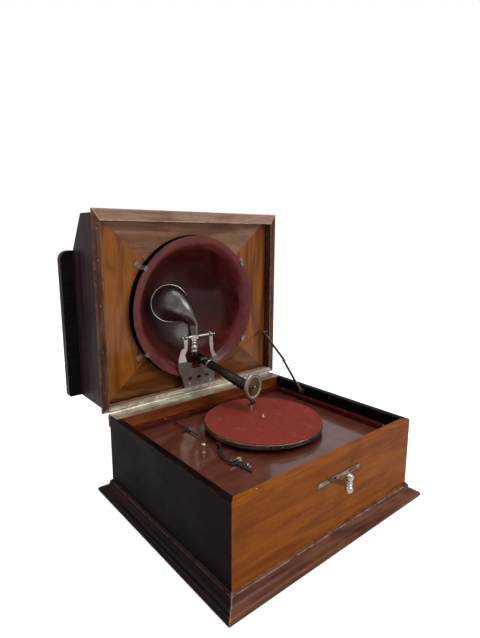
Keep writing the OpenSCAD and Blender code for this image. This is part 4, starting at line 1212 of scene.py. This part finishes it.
def buildFloor(look):
    shape = bmesh.new()
    bmesh.ops.create_grid(shape, x_segments=1, y_segments=1, size=look["size"] / 2)
    mesh = bpy.data.meshes.new("floor")
    shape.to_mesh(mesh)
    shape.free()
    shader = Shader("floorPaper", Roughness=look["dull"], Specular_IOR_Level=look["shine"])
    flecks = shader.noise(**look["flecks"])
    paper = shader.paint(shader.ramp(flecks, [(0.0, look["colour"]), (1.0, look["fleck"])]))
    brightenFloor(shader, look["glow"])
    mesh.materials.append(paper)
    floor = bpy.data.objects.new("floor", mesh)
    scene.collection.objects.link(floor)


buildFloor(floorLook)

# Camera, fitted to the photograph
cameraLook = {
    "place": (-0.5796, -0.6332, 0.5306),
    "azimuth": -39.878,
    "down": 10.614,
    "roll": 0.196,
    "lens": 25.59,
    "sensor": 36,
    "near": 0.02,
}


def buildCamera(look):
    azimuth, down = math.radians(look["azimuth"]), math.radians(look["down"])
    level = math.cos(down)
    back = Vector((math.sin(azimuth) * level, -math.cos(azimuth) * level, math.sin(down)))
    right = Vector((0, 0, 1)).cross(back).normalized()
    up = back.cross(right)
    roll = Matrix.Rotation(math.radians(look["roll"]), 3, "Z")
    aim = Matrix((right, up, back)).transposed() @ roll
    data = bpy.data.cameras.new("photoCamera")
    data.lens = look["lens"]
    data.sensor_width = look["sensor"]
    data.clip_start = look["near"]
    camera = bpy.data.objects.new("photoCamera", data)
    camera.matrix_world = Matrix.Translation(look["place"]) @ aim.to_4x4()
    scene.collection.objects.link(camera)
    scene.camera = camera


buildCamera(cameraLook)

lightTarget = Vector((0, 0, 0.25))
lightLooks = [
    {"name": "keySoft", "place": (0.9, -1.8, 1.9), "size": 1.4, "power": 26},
    {"name": "rearSoft", "place": (-0.9, 1.2, 2.0), "size": 1.6, "power": 10},
    {"name": "topSoft", "place": (0.2, -0.1, 2.6), "size": 1.6, "power": 14},
]


def buildLights(looks):
    for look in looks:
        data = bpy.data.lights.new(look["name"], "AREA")
        data.shape = "DISK"
        data.size = look["size"]
        data.energy = look["power"]
        lamp = bpy.data.objects.new(look["name"], data)
        toCase = lightTarget - Vector(look["place"])
        turn = toCase.to_track_quat("-Z", "Y").to_matrix().to_4x4()
        lamp.matrix_world = Matrix.Translation(look["place"]) @ turn
        scene.collection.objects.link(lamp)


buildLights(lightLooks)

worldLook = {"light": 0.45, "seen": 1.0, "mirrored": 0.55}


# White behind the object, with less light from it on the object and in its metal
def buildWorld(look):
    world = bpy.data.worlds.new("softRoom")
    world.use_nodes = True
    tree = world.node_tree
    tree.nodes.clear()
    output = tree.nodes.new("ShaderNodeOutputWorld")
    path = tree.nodes.new("ShaderNodeLightPath")

    def shade(strength):
        background = tree.nodes.new("ShaderNodeBackground")
        background.inputs["Color"].default_value = (1, 1, 1, 1)
        background.inputs["Strength"].default_value = strength
        return background.outputs[0]

    def choose(ray, other, wanted):
        node = tree.nodes.new("ShaderNodeMixShader")
        tree.links.new(path.outputs[ray], node.inputs["Fac"])
        tree.links.new(other, node.inputs[1])
        tree.links.new(wanted, node.inputs[2])
        return node.outputs[0]

    mirrored = choose("Is Glossy Ray", shade(look["light"]), shade(look["mirrored"]))
    seen = choose("Is Camera Ray", mirrored, shade(look["seen"]))
    tree.links.new(seen, output.inputs["Surface"])
    scene.world = world


buildWorld(worldLook)
scene.view_settings.view_transform = "Standard"
print("stage, camera and lights set")
